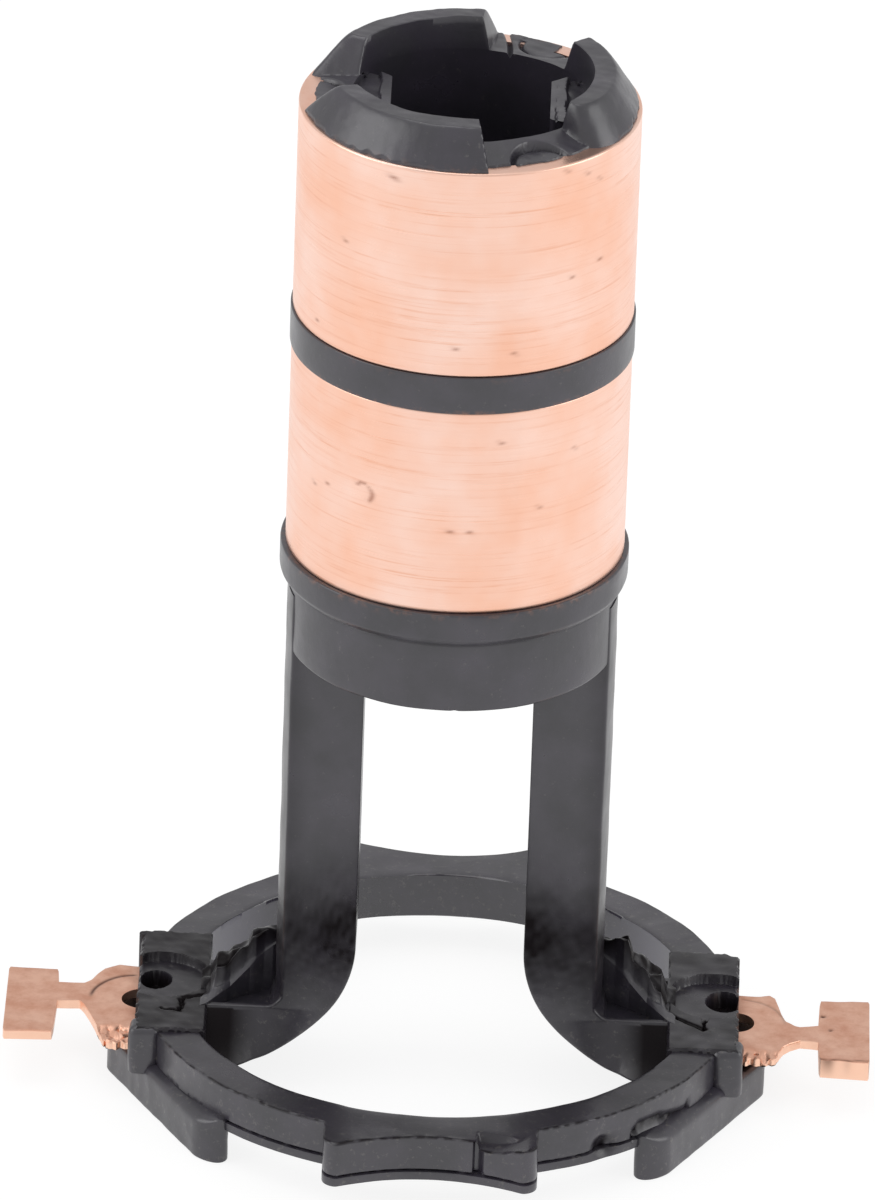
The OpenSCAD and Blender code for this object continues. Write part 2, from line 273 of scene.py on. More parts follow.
# %% Pieces
def piece(name, shells, material, node_name, marks_and_painted_light=None):
    """Joins closed shells, given in millimetres, into one mesh that stands for a CAD node."""
    shells = [outward(s) for s in shells]
    starts = np.cumsum([0] + [len(s[0]) for s in shells[:-1]])
    points = np.vstack([s[0] for s in shells]) * MM
    faces = np.vstack([s[1] + start for s, start in zip(shells, starts)])
    mesh = mesh_of(name, points, faces)
    mesh.materials.append(material)
    amount = np.zeros(len(points)) if marks_and_painted_light is None else marks_and_painted_light
    layer = mesh.attributes.new("marks_and_painted_light", "FLOAT", "POINT")
    layer.data.foreach_set("value", amount.astype(np.float32))
    obj = bpy.data.objects.new(name, mesh)
    scene.collection.objects.link(obj)
    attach(obj, "root")
    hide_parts(node_name)
    size = (points.max(0) - points.min(0)) / MM
    print(name, 2 * len(faces), "triangles,", size.round(2), "mm")


def moulded(name, shells, marks_and_painted_light=None):
    """A piece of the black moulding, which is one node of the CAD model."""
    piece(name, shells, moulding, "moulded_carrier", marks_and_painted_light)


print("every piece rides on the body root")

# %% [markdown]
# ## Camera
# The photograph looks down on the object by 26.5 degrees with a long lens. The view was fitted to
# the circles of the tracks and the base ring. Blender could aim a camera with a Track To
# constraint; a matrix made of the right, up and view directions keeps the slight roll as well.

# %% View directions of the photograph
turn = math.radians(0.46)
yaw = math.radians(-0.065) - turn
pitch = math.radians(26.534)
roll = math.radians(2.048)
away_mm = 614.22
height_mm = 330.9
eye = np.array([away_mm * math.sin(turn), -away_mm * math.cos(turn), height_mm])
level_ahead = np.array([math.sin(yaw), math.cos(yaw), 0.0])
level_right = np.array([math.cos(yaw), -math.sin(yaw), 0.0])
upright = np.array([0.0, 0.0, 1.0])
ahead = level_ahead * math.cos(pitch) - upright * math.sin(pitch)
straight_up = level_ahead * math.sin(pitch) + upright * math.cos(pitch)
right = level_right * math.cos(roll) + straight_up * math.sin(roll)
up = straight_up * math.cos(roll) - level_right * math.sin(roll)
print("the camera looks along", ahead.round(3))

# %% Camera
FOCUS_PX = 15000.0
LONG_SIDE_PX = 1200.0
SENSOR_MM = 36.0
lens = bpy.data.cameras.new("photo_view")
lens.sensor_width = SENSOR_MM
lens.lens = FOCUS_PX / LONG_SIDE_PX * SENSOR_MM
lens.clip_start = 0.05
lens.clip_end = 5.0
camera = bpy.data.objects.new("photo_view", lens)
scene.collection.objects.link(camera)
place = np.eye(4)
place[:3, :4] = np.stack([right, up, -ahead, eye * MM], -1)
camera.matrix_world = Matrix(place.tolist())
scene.camera = camera
print("camera at", (eye * MM).round(3), "m, lens", lens.lens, "mm")

# %% [markdown]
# ## Materials
# Every finish starts from what the real thing is and how its surface was made. Colours are written
# as sRGB hex, the way a picture shows them, and one function turns them into the linear values that
# Cycles wants. Patterns read Object coordinates, which are metres here, so a pattern that is
# s millimetres wide gets the scale 1 / (0.001 s).

# %% Colour and node helpers
# A Mix node has its two colours at these numbers; 0 is its factor
MIX_A = 6
MIX_B = 7


def srgb(hex_colour):
    """Linear c / 12.92 for small values, ((c + 0.055) / 1.055) ^ 2.4 for the rest; alpha is 1."""
    c = np.array([int(hex_colour[k:k + 2], 16) for k in (1, 3, 5)]) / 255.0
    linear = np.where(c <= 0.04045, c / 12.92, ((c + 0.055) / 1.055) ** 2.4)
    return (*linear.tolist(), 1.0)


def feed(tree, made, inputs):
    """Sets each input to a value, or links it to a socket or to a node's first working output."""
    for key, value in inputs.items():
        if isinstance(value, bpy.types.Node):
            value = next(socket for socket in value.outputs if socket.enabled)
        if isinstance(value, bpy.types.NodeSocket):
            tree.links.new(value, made.inputs[key])
        else:
            made.inputs[key].default_value = value


def node(tree, kind, inputs=None, **settings):
    """Adds one shader node: settings are its properties, and inputs are fed to it."""
    made = tree.nodes.new("ShaderNode" + kind)
    for key, value in settings.items():
        setattr(made, key, value)
    feed(tree, made, inputs or {})
    return made


def per_mm(size):
    """Texture scale for a pattern whose cells are size millimetres wide."""
    return 1 / (size * MM)


def finish_of(name):
    """A new material with its node tree, its surface shader and its Object coordinates."""
    made = bpy.data.materials.new(name)
    made.use_nodes = True
    tree = made.node_tree
    where = node(tree, "TexCoord").outputs["Object"]
    return made, tree, tree.nodes["Principled BSDF"], where


print("mid grey #808080 is", round(srgb("#808080")[0], 3), "in linear light")

# %% [markdown]
# ### Black moulding compound
# The carrier is a glass-filled phenolic, pressed in a hot mould. To the eye it is charcoal rather
# than black, in clouds of about 2.6 mm, with specks of pale dust of about 0.3 mm that lie thickest
# low down. An image texture would need a picture; noise mapped to two colours does the same.

# %% Moulded phenolic: clouds and dust
moulding, tree, surface, where = finish_of("phenolic_moulded")
patches = node(tree, "TexNoise", {
    "Vector": where, "Scale": per_mm(2.6), "Detail": 4.0, "Roughness": 0.6})
cloud = node(tree, "MapRange", {"Value": patches, "From Min": 0.35, "From Max": 0.68})
charcoal = node(tree, "Mix", {
    0: cloud, MIX_A: srgb("#28262d"), MIX_B: srgb("#35313b")}, data_type="RGBA")
axes = node(tree, "SeparateXYZ", {0: where})
dust = node(tree, "TexNoise", {
    "Vector": where, "Scale": per_mm(0.32), "Detail": 5.0, "Roughness": 0.75})
# More dust has settled on the lowest 12 mm
settled = node(tree, "MapRange", {
    "Value": axes.outputs["Z"], "From Min": 4 * MM, "From Max": 12 * MM,
    "To Min": 0.05, "To Max": 0.0})
dust_amount = node(tree, "Math", {0: dust, 1: settled}, operation="ADD")
dust_mask = node(tree, "MapRange", {
    "Value": dust_amount, "From Min": 0.62, "From Max": 0.72, "To Max": 0.7})
dusty = node(tree, "Mix", {0: dust_mask, MIX_A: charcoal, MIX_B: srgb("#5c5957")}, data_type="RGBA")
print("clouds of 2.6 mm and dust of 0.32 mm")

# %% [markdown]
# ### Copper rubbed onto the moulding
# The tracks were turned after moulding, and the tool smeared a little copper over their edges. To
# the eye it is a broken brown line beside each edge, on the outer skin only. It could be painted
# on a UV map; a colour ramp over the height, times noise of 0.5 mm, needs no map.

# %% Moulded phenolic: copper trace
height_share = node(tree, "Math", {
    0: axes.outputs["Z"], 1: 1 / (body_high[2] * MM)}, operation="MULTIPLY")
copper_trace = node(tree, "ValToRGB", {"Fac": height_share})
stops = copper_trace.color_ramp.elements
# Each track's edges in millimetres, and how far the copper reaches down or up from them
track_edges = ((lower_low[2], -0.3), (lower_high[2], 0.2), (upper_low[2], -0.2), (crown_z, 0.2))
for level, reach in track_edges:
    way = math.copysign(1, reach)
    for shift, strength in ((0.0, 0.0), (0.02 * way, 1.0), (reach + 0.01 * way, 0.0)):
        stop = stops.new((level + shift) / body_high[2])
        stop.color = (strength, strength, strength, 1.0)
stops[0].color = (0.0, 0.0, 0.0, 1.0)
stops[len(stops) - 1].color = (0.0, 0.0, 0.0, 1.0)
trace_noise = node(tree, "TexNoise", {
    "Vector": where, "Scale": per_mm(0.5), "Detail": 4.0, "Roughness": 0.7})
trace_mask = node(tree, "MapRange", {
    "Value": trace_noise, "From Min": 0.5, "From Max": 0.66, "To Max": 0.6})
level_only = node(tree, "CombineXYZ", {0: axes.outputs["X"], 1: axes.outputs["Y"]})
from_axis = node(tree, "VectorMath", {0: level_only}, operation="LENGTH")
outer_skin = node(tree, "MapRange", {
    "Value": from_axis, "From Min": 7.3 * MM, "From Max": 7.5 * MM})
trace = node(tree, "Math", {0: trace_mask, 1: copper_trace}, operation="MULTIPLY")
trace = node(tree, "Math", {0: trace, 1: outer_skin}, operation="MULTIPLY")
traced = node(tree, "Mix", {0: trace, MIX_A: dusty, MIX_B: srgb("#8a5a43")}, data_type="RGBA")
print("the ramp over the height has", len(stops), "stops")

# %% [markdown]
# ### What the point attribute does to the moulding
# From 0 to 1 it turns the compound nearly black and matte: broken flash, which has no moulded
# skin, darker patches, and painted shade. At -0.5 it is a wall that slid out of the mould and is
# polished by it: glossy, with hardly any grain. From -0.5 to -1 such a wall is also painted pale
# lilac, a painted reflection of the white floor. Separate materials would leave hard borders; one
# attribute fades from point to point.

# %% Moulded phenolic: flash, painted shade and reflection, gloss and grain
marks_and_light_here = node(tree, "Attribute", attribute_name="marks_and_painted_light")
# Broken flash, darker patches and painted shade mix towards nearly black
darkened_and_shaded = node(tree, "Mix", {
    0: marks_and_light_here.outputs["Fac"], MIX_A: traced, MIX_B: srgb("#151113")}, data_type="RGBA")
# Pale lilac painted reflection of the white floor on the ring's polished inner wall
painted_reflection_share = node(tree, "MapRange", {
    "Value": marks_and_light_here.outputs["Fac"], "From Min": -0.5, "From Max": -1.0})
with_painted_reflection = node(tree, "Mix", {0: painted_reflection_share, MIX_A: darkened_and_shaded, MIX_B: srgb("#5c5968")}, data_type="RGBA")
gloss = node(tree, "MapRange", {
    "Value": patches, "From Min": 0.3, "From Max": 0.7, "To Min": 0.38, "To Max": 0.26})
polished = node(tree, "MapRange", {
    "Value": marks_and_light_here.outputs["Fac"], "From Min": -0.5, "From Max": 0.0,
    "To Min": 0.1, "To Max": gloss})
mirror = node(tree, "MapRange", {"Value": marks_and_light_here.outputs["Fac"], "To Min": 0.9, "To Max": 0.08})
# The filler's grain is under 0.1 mm, too fine to show, so it is drawn at 0.22 mm
grain = node(tree, "TexNoise", {
    "Vector": where, "Scale": per_mm(0.22), "Detail": 3.0, "Roughness": 0.65})
grain_depth = node(tree, "MapRange", {
    "Value": marks_and_light_here.outputs["Fac"], "From Min": -0.5, "From Max": 0.0,
    "To Min": 0.1, "To Max": 0.5})
bump = node(tree, "Bump", {"Height": grain, "Strength": grain_depth, "Distance": 0.012 * MM})
feed(tree, surface, {
    "Base Color": with_painted_reflection, "Roughness": polished, "Specular IOR Level": mirror, "Normal": bump})
print(moulding.name, "has", len(tree.nodes), "nodes")

# %% [markdown]
# ### Turned copper
# The tracks are soft copper tube, skimmed on a lathe after moulding. To the eye they are pale
# pink metal with broken lines of a deeper orange round the band and small dark specks. Real
# turning lines lie about 0.05 mm apart, too fine to show, so they are drawn some 0.1 mm wide.
# Streaks that follow the turning need no angle: the same noise, squeezed along the axis, runs
# round the band without a seam.

# %% Turned copper of the tracks: colour
turned_copper, tree, surface, where = finish_of("copper_turned")
squeezed = node(tree, "Mapping", {"Vector": where, "Scale": (1.0, 1.0, 110.0)})
streaks = node(tree, "TexNoise", {
    "Vector": squeezed, "Scale": per_mm(13.0), "Detail": 6.0, "Roughness": 0.6})
line_mask = node(tree, "MapRange", {
    "Value": streaks, "From Min": 0.52, "From Max": 0.7, "To Max": 0.5})
# The tool left each line in dashes of about 1.6 mm
along_line = node(tree, "Mapping", {"Vector": where, "Scale": (1.0, 1.0, 8.0)})
dash = node(tree, "TexNoise", {
    "Vector": along_line, "Scale": per_mm(1.6), "Detail": 3.0, "Roughness": 0.6})
dash_mask = node(tree, "MapRange", {
    "Value": dash, "From Min": 0.4, "From Max": 0.6, "To Min": 0.2, "To Max": 1.4})
dashed = node(tree, "Math", {0: line_mask, 1: dash_mask}, operation="MULTIPLY")
clouds = node(tree, "TexNoise", {"Vector": where, "Scale": per_mm(4.0), "Detail": 3.0})
warm = node(tree, "MapRange", {"Value": clouds, "From Min": 0.35, "From Max": 0.7})
copper_colour = node(tree, "Mix", {
    0: warm, MIX_A: srgb("#fdd8c8"), MIX_B: srgb("#fbc5ab")}, data_type="RGBA")
lined = node(tree, "Mix", {
    0: dashed, MIX_A: copper_colour, MIX_B: srgb("#ecab8a")}, data_type="RGBA")
# Specks are dents of the mesh, marked in the same point attribute
speck = node(tree, "Attribute", attribute_name="marks_and_painted_light")
specked = node(tree, "Mix", {
    0: speck.outputs["Fac"], MIX_A: lined, MIX_B: srgb("#8f5440")}, data_type="RGBA")
feed(tree, surface, {"Base Color": specked, "Metallic": 1.0})
print("clouds of 4 mm, dashes of 1.6 mm")

# %% Turned copper of the tracks: gloss and feel
fine = node(tree, "TexNoise", {
    "Vector": squeezed, "Scale": per_mm(5.0), "Detail": 3.0, "Roughness": 0.7})
rough = node(tree, "MapRange", {
    "Value": fine, "From Min": 0.3, "From Max": 0.7, "To Min": 0.26, "To Max": 0.42})
bump = node(tree, "Bump", {"Height": fine, "Strength": 0.4, "Distance": 0.006 * MM})
feed(tree, surface, {"Roughness": rough, "Normal": bump})
print(turned_copper.name, "has", len(tree.nodes), "nodes")

# %% [markdown]
# ### Stamped copper
# The terminals are punched out of rolled strip. To the eye their flats are duller and browner than
# the tracks, mottled with oxide in patches of 1.3 mm and pitted at 0.3 mm, and their sheared
# edges are bright. The edges could be painted face by face; the normal tells them apart, because
# it is level there.

# %% Stamped copper of the terminals
stamped_copper, tree, surface, where = finish_of("copper_stamped")
oxide = node(tree, "TexNoise", {
    "Vector": where, "Scale": per_mm(1.3), "Detail": 5.0, "Roughness": 0.65})
pits = node(tree, "TexNoise", {"Vector": where, "Scale": per_mm(0.3), "Detail": 3.0})
tarnish = node(tree, "MapRange", {"Value": oxide, "From Min": 0.36, "From Max": 0.66})
flat_colour = node(tree, "Mix", {
    0: tarnish, MIX_A: srgb("#f2c2aa"), MIX_B: srgb("#dba58c")}, data_type="RGBA")
shape_here = node(tree, "NewGeometry")
facing = node(tree, "SeparateXYZ", {0: shape_here.outputs["Normal"]})
upward = node(tree, "Math", {0: facing.outputs["Z"]}, operation="ABSOLUTE")
is_flat = node(tree, "MapRange", {"Value": upward, "From Min": 0.3, "From Max": 0.8})
sheared = node(tree, "Mix", {
    0: is_flat, MIX_A: srgb("#ffd2b8"), MIX_B: flat_colour}, data_type="RGBA")
# Dark stains of the scratch and the pits, and a painted shadow along the hem's fold
stain_and_shadow_here = node(tree, "Attribute", attribute_name="marks_and_painted_light")
stained_and_shaded = node(tree, "Mix", {
    0: stain_and_shadow_here.outputs["Fac"], MIX_A: sheared, MIX_B: srgb("#5a3a30")}, data_type="RGBA")
feed(tree, surface, {"Base Color": stained_and_shaded, "Metallic": 1.0})
rough = node(tree, "MapRange", {
    "Value": oxide, "From Min": 0.3, "From Max": 0.7, "To Min": 0.34, "To Max": 0.52})
bump = node(tree, "Bump", {"Height": pits, "Strength": 0.4, "Distance": 0.012 * MM})
feed(tree, surface, {"Roughness": rough, "Normal": bump})
print(stamped_copper.name, "has", len(tree.nodes), "nodes")

# %% [markdown]
# ## The castle crown
# The barrel's free end stands above the upper track as three lugs with sloping ends, between gaps
# that each show a half-round mark of a mould pin. It could be cut from a ring with booleans; as
# a height over radius and angle it is the lowest of four slopes, rounded where they meet, and the
# higher of that and the gap's floor.

# %% Crown sizes
CORE_R = 6.94
BORE_R = 5.375
SKIRT_R = 7.70
CONE_R = 7.67
CONE_SLOPE = 1.528
CROWN_H = body_high[2] - crown_z
FLOOR_OUT = 0.12
FLOOR_R = 6.95
PIN_WAY = 7.15
PIN_R = 1.4
# One row per gap: its middle and half its width in degrees, and the slopes of the lugs' ends
gap_way = np.array([61.0, 177.0, 298.0])[:, None, None]
gap_half = np.array([20.5, 13.5, 20.5])[:, None, None]
rise_before = np.array([4.0, 1.43, 6.6])[:, None, None]
rise_after = np.array([4.0, 1.43, 4.9])[:, None, None]
floor_at_bore = np.array([0.2, 0.35, 0.6])
print("the lugs stand", CROWN_H.round(2), "mm above the track")


# %% Crown lugs
def crown_lugs(radius, angle, floor_in, jag):
    """Soft minimum of a lug's two ends, its outer cone, its top and its slope to the bore."""
    # Signed degrees from the middle of each gap
    signed = (np.degrees(angle) - gap_way + 180) % 360 - 180
    clear = np.abs(signed) - gap_half
    ends = radius * np.radians(clear) * np.where(signed < 0, rise_before, rise_after)
    # The right lug's front end is worn round, so the cone starts further in there
    worn = np.exp(-np.maximum(clear[2] - 1.5, 0) / 4.5) * (signed[2] > 0) * (signed[2] < 90)
    cone = (CONE_R - 0.82 * worn - radius) * CONE_SLOPE
    inner = floor_in + (radius - BORE_R) * 9
    low_end = np.exp(-np.maximum(clear[1], 0) / 12)
    blend = 0.15 + 0.25 * worn + 0.1 * low_end
    lug = soft_min(blend, *ends, cone + 0.04, CROWN_H + 0.08, inner)
    foot_edge = step_up(CONE_R - 0.05 + jag - radius, 0, 0.05)
    return (lug + 0.3) * foot_edge - 0.3


print("the lugs' cone slopes by", round(math.degrees(math.atan(CONE_SLOPE)), 1), "degrees")


# %% Crown floor and height
def crown_floor(radius, angle, floor_in, jag):
    """A level that changes evenly in to the bore, less pin marks, a crack and the rim's step."""
    x = radius * np.cos(angle)
    y = radius * np.sin(angle)
    degrees = np.degrees(angle)
    slope = (floor_in - FLOOR_OUT) / (FLOOR_R - BORE_R)
    floor = FLOOR_OUT + np.maximum(0, FLOOR_R - radius) * slope
    for way in np.radians(gap_way.ravel()):
        off = np.hypot(x - PIN_WAY * np.cos(way), y - PIN_WAY * np.sin(way))
        floor = soft_min(0.02, floor, 0.1 + np.maximum(0, off - PIN_R) * 8)
        floor -= 0.24 * bell(off - 1.33, 0.1) * (radius < 7.1)
    # A crack beside the back lug's end
    floor -= 0.3 * bell(degrees - 74 - 3 * (radius - 6), 0.9)
    rim_ways = [0, 40, 42, 57, 58, 82, 84, 150, 360]
    rim = np.interp(degrees, rim_ways, [7.0, 7.0, 6.75, 6.75, 7.58, 7.6, 7.1, 7.05, 7.0])
    return floor - 0.4 * step_up(radius, rim + jag - 0.05, rim + jag + 0.08)


def crown_height(radius, angle):
    """Higher of the lugs and the gaps' floor, but never above the crown's top."""
    flat_points = around(radius, 0.0, angle)
    jag = 0.025 * ripple(flat_points, 1.1, 5) + 0.01 * ripple(flat_points, 0.4, 6)
    floor_in = np.interp(np.degrees(angle), gap_way.ravel(), floor_at_bore, period=360)
    lugs = crown_lugs(radius, angle, floor_in, jag)
    return np.minimum(CROWN_H, np.maximum(lugs, crown_floor(radius, angle, floor_in, jag)))


print("height in the middle of the back gap", crown_height(6.5, np.radians([61.0])).round(2), "mm")

# %% [markdown]
# ## Bore and ribs
# Two flat-topped ribs run down the bore and key it to the shaft. They could be boxes joined on
# with a boolean; here the bore's own outline steps inwards over the ribs' angles, so the wall stays
# one grid. Their top ends are level strips, behind which the compound has sunk as it cooled.

# %% Bore with two flat ribs
RIB_X = 3.6
RIB_Y = 2.25
RIB_EDGE = 0.15
RIB_TOP = crown_z + 0.4


def bore_outline(angle):
    """A circle, but over the ribs' angles (x, y) runs along the rib's face, corner and side."""
    lean = np.abs(np.arctan(np.tan(angle)))
    flank = math.asin(RIB_Y / BORE_R)
    marks = np.array([0, 0.70, 0.78, 1]) * flank
    rib_x = np.interp(lean, marks, [RIB_X, RIB_X, RIB_X + RIB_EDGE, BORE_R * math.cos(flank)])
    rib_y = np.interp(lean, marks, [0, RIB_Y - RIB_EDGE, RIB_Y, RIB_Y])
    on_rib = lean < flank
    x = np.where(on_rib, rib_x * np.sign(np.cos(angle)), BORE_R * np.cos(angle))
    y = np.where(on_rib, rib_y * np.sign(np.sin(angle)), BORE_R * np.sin(angle))
    return x, y


def bore_rows(angle, heights, spread=0.0):
    """Rows of the bore's outline at the given heights, opened outwards by spread."""
    x, y = bore_outline(angle)
    grow = 1 + np.asarray(spread) / np.hypot(x, y)[None, :] * np.ones((len(heights), 1))
    z = np.broadcast_to(np.asarray(heights, float)[:, None], grow.shape)
    return np.stack([x * grow, y * grow, z], -1)


print("across the ribs' flats the bore is", 2 * bore_outline(np.zeros(1))[0][0], "mm")


# %% Top ends of the ribs
def rib_tops(angle, count):
    """Rows from the wall in to the ribs' faces: p + t (R - |p|) p / |p|, with t from 1 to 0."""
    x, y = bore_outline(angle)
    reach = np.hypot(x, y)
    gap = BORE_R - reach
    t = np.linspace(1, 0, count)[:, None]
    grow = 1 + gap * t / reach
    px, py = x * grow, y * grow
    # Each rib keeps a level strip along its face; behind it the compound has sunk
    strip = np.where(px > 0, 4.3, 4.05) + 0.04 * np.sin(3 * py)
    sunk = -0.42 * step_up(np.abs(px), strip - 0.06, strip + 0.12)
    sunk -= 0.16 * bell(px - 3.88, 0.07)
    sunk += 0.012 * ripple(np.stack([px, py, 0 * px], -1), 1.1, 13)
    sunk -= 0.03 * step_up(np.abs(px), RIB_X + 0.05, RIB_X)
    flat = RIB_TOP + sunk
    wall = RIB_TOP + 0.02 - 0.2 * (1 - t) + 0 * px
    share = step_up(gap, 0.0, 0.1)
    return np.stack([px, py, share * flat + (1 - share) * wall], -1)


print("height over a rib, from its root to its face", rib_tops(np.zeros(1), 4)[:, 0, 2].round(2))

# %% [markdown]
# ## Crown piece
# The rows run up the skirt, over the lugs, down the bore's wall, in over the ribs' tops and down
# inside to the seam with the barrel, where the torus closes on its first row again.

# %% Crown, outside and top
SEAM_Z = 46.0
SKIRT_END = crown_z - 0.3
round_crown = full_turn(720)
skirt_r = np.array([[CORE_R], [CORE_R], [SKIRT_R]])
skirt = around(skirt_r, np.array([[SEAM_Z], [SKIRT_END], [SKIRT_END]]), round_crown)
crown_r = np.concatenate([np.linspace(SKIRT_R, 7.5, 15), np.linspace(7.46, BORE_R, 50)])[:, None]
crown_top = around(crown_r, crown_z + crown_height(crown_r, round_crown), round_crown)
uneven = 0.012 * (1.6 + ripple(crown_top, 2.2, 11)) + 0.004 * (1 + ripple(crown_top, 0.7, 12))
crown_top[..., 2] -= np.clip(uneven, 0, None) * (crown_top[..., 2] > crown_z)
print("the crown's top has", crown_top.shape[0], "rows of", crown_top.shape[1], "points")

# %% Crown, bore and ribs
fall = np.linspace(0, 1, 8)[1:, None]
rim_z = crown_top[-1, :, 2]
wall_z = rim_z * (1 - fall) + np.minimum(rim_z - 0.02, RIB_TOP + 0.05) * fall
bore_wall = around(BORE_R, wall_z, round_crown)
rib_rows = 26
shoulder = rib_tops(round_crown, rib_rows)
# Each row stays a little below the wall, so that no two points meet
below_wall = bore_wall[-1, :, 2] - 0.004 * np.arange(1, rib_rows + 1)[:, None]
shoulder[..., 2] = np.minimum(shoulder[..., 2], below_wall)
bore_deep = bore_rows(round_crown, np.linspace(RIB_TOP - 0.75, SEAM_Z, 9))
crown_shell = torus(np.concatenate([skirt, crown_top, bore_wall, shoulder, bore_deep]))
moulded("crown", [crown_shell])

# %% [markdown]
# ## Barrel, land, flange and collar
# Below the crown everything is turned round one axis except the bore's ribs, so one profile is
# carried round and the bore's rows follow their own outline. A Screw modifier would need a
# boolean for the ribs. The flange shades the collar under it, with a small crease between them.

# %% Barrel profile
LAND_R = 7.83
FLANGE_R = 7.97
COLLAR_R = 7.52
COLLAR_Z = 22.3
FLANGE_Z = 25.8
MOUTH = 0.35
# Radius, height and rounding of each corner, from the crown's seam down to the bore's mouth
barrel_corners = np.array([
    (CORE_R, SEAM_Z, 0), (CORE_R, upper_low[2], 0), (LAND_R, upper_low[2], 0.05),
    (LAND_R, lower_high[2], 0.05), (CORE_R, lower_high[2], 0), (CORE_R, lower_low[2], 0),
    (FLANGE_R, lower_low[2], 0.1), (FLANGE_R, FLANGE_Z + 0.3, 0.1), (7.74, FLANGE_Z, 0.05),
    (7.46, FLANGE_Z - 0.06, 0.05), (COLLAR_R, FLANGE_Z - 0.2, 0.05), (COLLAR_R, COLLAR_Z, 0.16),
    (BORE_R + MOUTH, COLLAR_Z, 0)])
profile = dense(soften(barrel_corners[:, :2], barrel_corners[:, 2]), 0.5)
print("the barrel's profile has", len(profile), "points")

# %% Barrel piece
round_barrel = full_turn(540)
outside = around(profile[:, :1], profile[:, 1:], round_barrel)
outside_z = outside[..., 2]
low = outside_z < FLANGE_Z + 1.55
swell = 0.009 * ripple(outside, 3.5, 21) + 0.002 * ripple(outside, 0.8, 22)
# A flow mark where the compound met itself, low on the front of the collar
flow = np.degrees(round_barrel) - 271.5 + 1.2 * np.sin(outside_z * 3)
swell -= 0.07 * bell(flow, 0.9) * step_up(outside_z, 23.6, 23.1)
outside[..., :2] *= 1 + (swell * low / np.hypot(outside[..., 0], outside[..., 1]))[..., None]
inside = bore_rows(round_barrel, np.linspace(COLLAR_Z + 0.15, SEAM_Z, 20))
mouth = bore_rows(round_barrel, [COLLAR_Z], 0.15)
barrel_shell = torus(np.concatenate([outside, mouth, inside]))
moulded("barrel", [barrel_shell])

# %% [markdown]
# ## Copper tracks
# A track is a tube with a broken edge at each end. The lathe's feed leaves rows that show as bands,
# because metal mirrors every small change of slope. The real ones lie closer than any grid can
# show, so they are drawn 0.65 and 0.31 mm apart and a few thousandths of a millimetre deep. They
# and the dents are in the mesh, not only in the material, because a dent has to catch light.

# %% Dents of a track
DENT_DEPTH = 0.012


def track_dents(points, angle, marks):
    """Greatest of the Gaussians of the distance along the skin from each mark."""
    z = points[..., 2]
    dents = np.zeros(z.shape)
    for way, height, size in marks:
        along = ((np.degrees(angle) - way + 180) % 360 - 180) * math.pi / 180 * track_r
        lift = z - height + 0.2 * along
        off = (along / (1.5 * size)) ** 2 + (lift / (0.5 * size)) ** 2
        dents = np.maximum(dents, np.exp(-off))
    return dents


print("a dent is", DENT_DEPTH, "mm deep")

# %% Track shape
TRACK_IN = 6.9
FEED = 0.65
FINE_FEED = 0.31
FEED_DEPTH = 0.0028


def track(name, low, high, node_name, seed, marks):
    """A soft rectangle carried round, its skin lowered by sine rows over z and by dents."""
    section = [(TRACK_IN, low), (track_r, low), (track_r, high), (TRACK_IN, high)]
    section = soften(section, [0, 0.1, 0.1, 0])
    back_wall = dense(np.array([section[-1], section[0]]), 2.0)[1:-1]
    section = np.vstack([dense(section, 0.13), back_wall])
    round_track = full_turn(520)
    points = around(section[:, :1], section[:, 1:], round_track)
    rng = np.random.default_rng(seed)
    z = points[..., 2]
    rows = np.sin(2 * np.pi * z / FEED + 1.5 * np.sin(z * 0.9))
    rows = rows + 0.7 * np.sin(2 * np.pi * z / FINE_FEED + rng.uniform(0, 6))
    wobble = 1 + 0.35 * ripple(points, 5.0, seed)
    on_skin = np.hypot(points[..., 0], points[..., 1]) > track_r - 0.05
    depth = FEED_DEPTH * (1.8 + rows * wobble) * on_skin
    # The photograph doesn't show the back, so sixteen small dents are drawn there at random
    ways = rng.uniform(0, 180, 16)
    heights = rng.uniform(low + 0.5, high - 0.5, 16)
    sizes = rng.uniform(0.06, 0.13, 16)
    dents = track_dents(points, round_track, [*marks, *zip(ways, heights, sizes)])
    depth += DENT_DEPTH * dents
    points[..., :2] *= 1 - (np.clip(depth, 0, None) / track_r)[..., None]
    marks_and_painted_light = (0.65 * dents).ravel()
    piece(name, [torus(points)], turned_copper, node_name, marks_and_painted_light=marks_and_painted_light)


print("the rows of the feed lie", FEED, "and", FINE_FEED, "mm apart")

# %% Track pieces
# Degrees round the axis, height and size of each dent that the photograph shows
upper_marks = [
    (-114.7, 48.66, 0.2), (-133.8, 44.83, 0.13), (-91.8, 40.67, 0.13), (-71.6, 40.35, 0.13),
    (-147.5, 40.13, 0.12), (-38.2, 44.02, 0.14), (-51.1, 43.65, 0.12), (-54.6, 49.0, 0.13),
    (-46.0, 48.6, 0.12), (-39.9, 48.1, 0.12)]
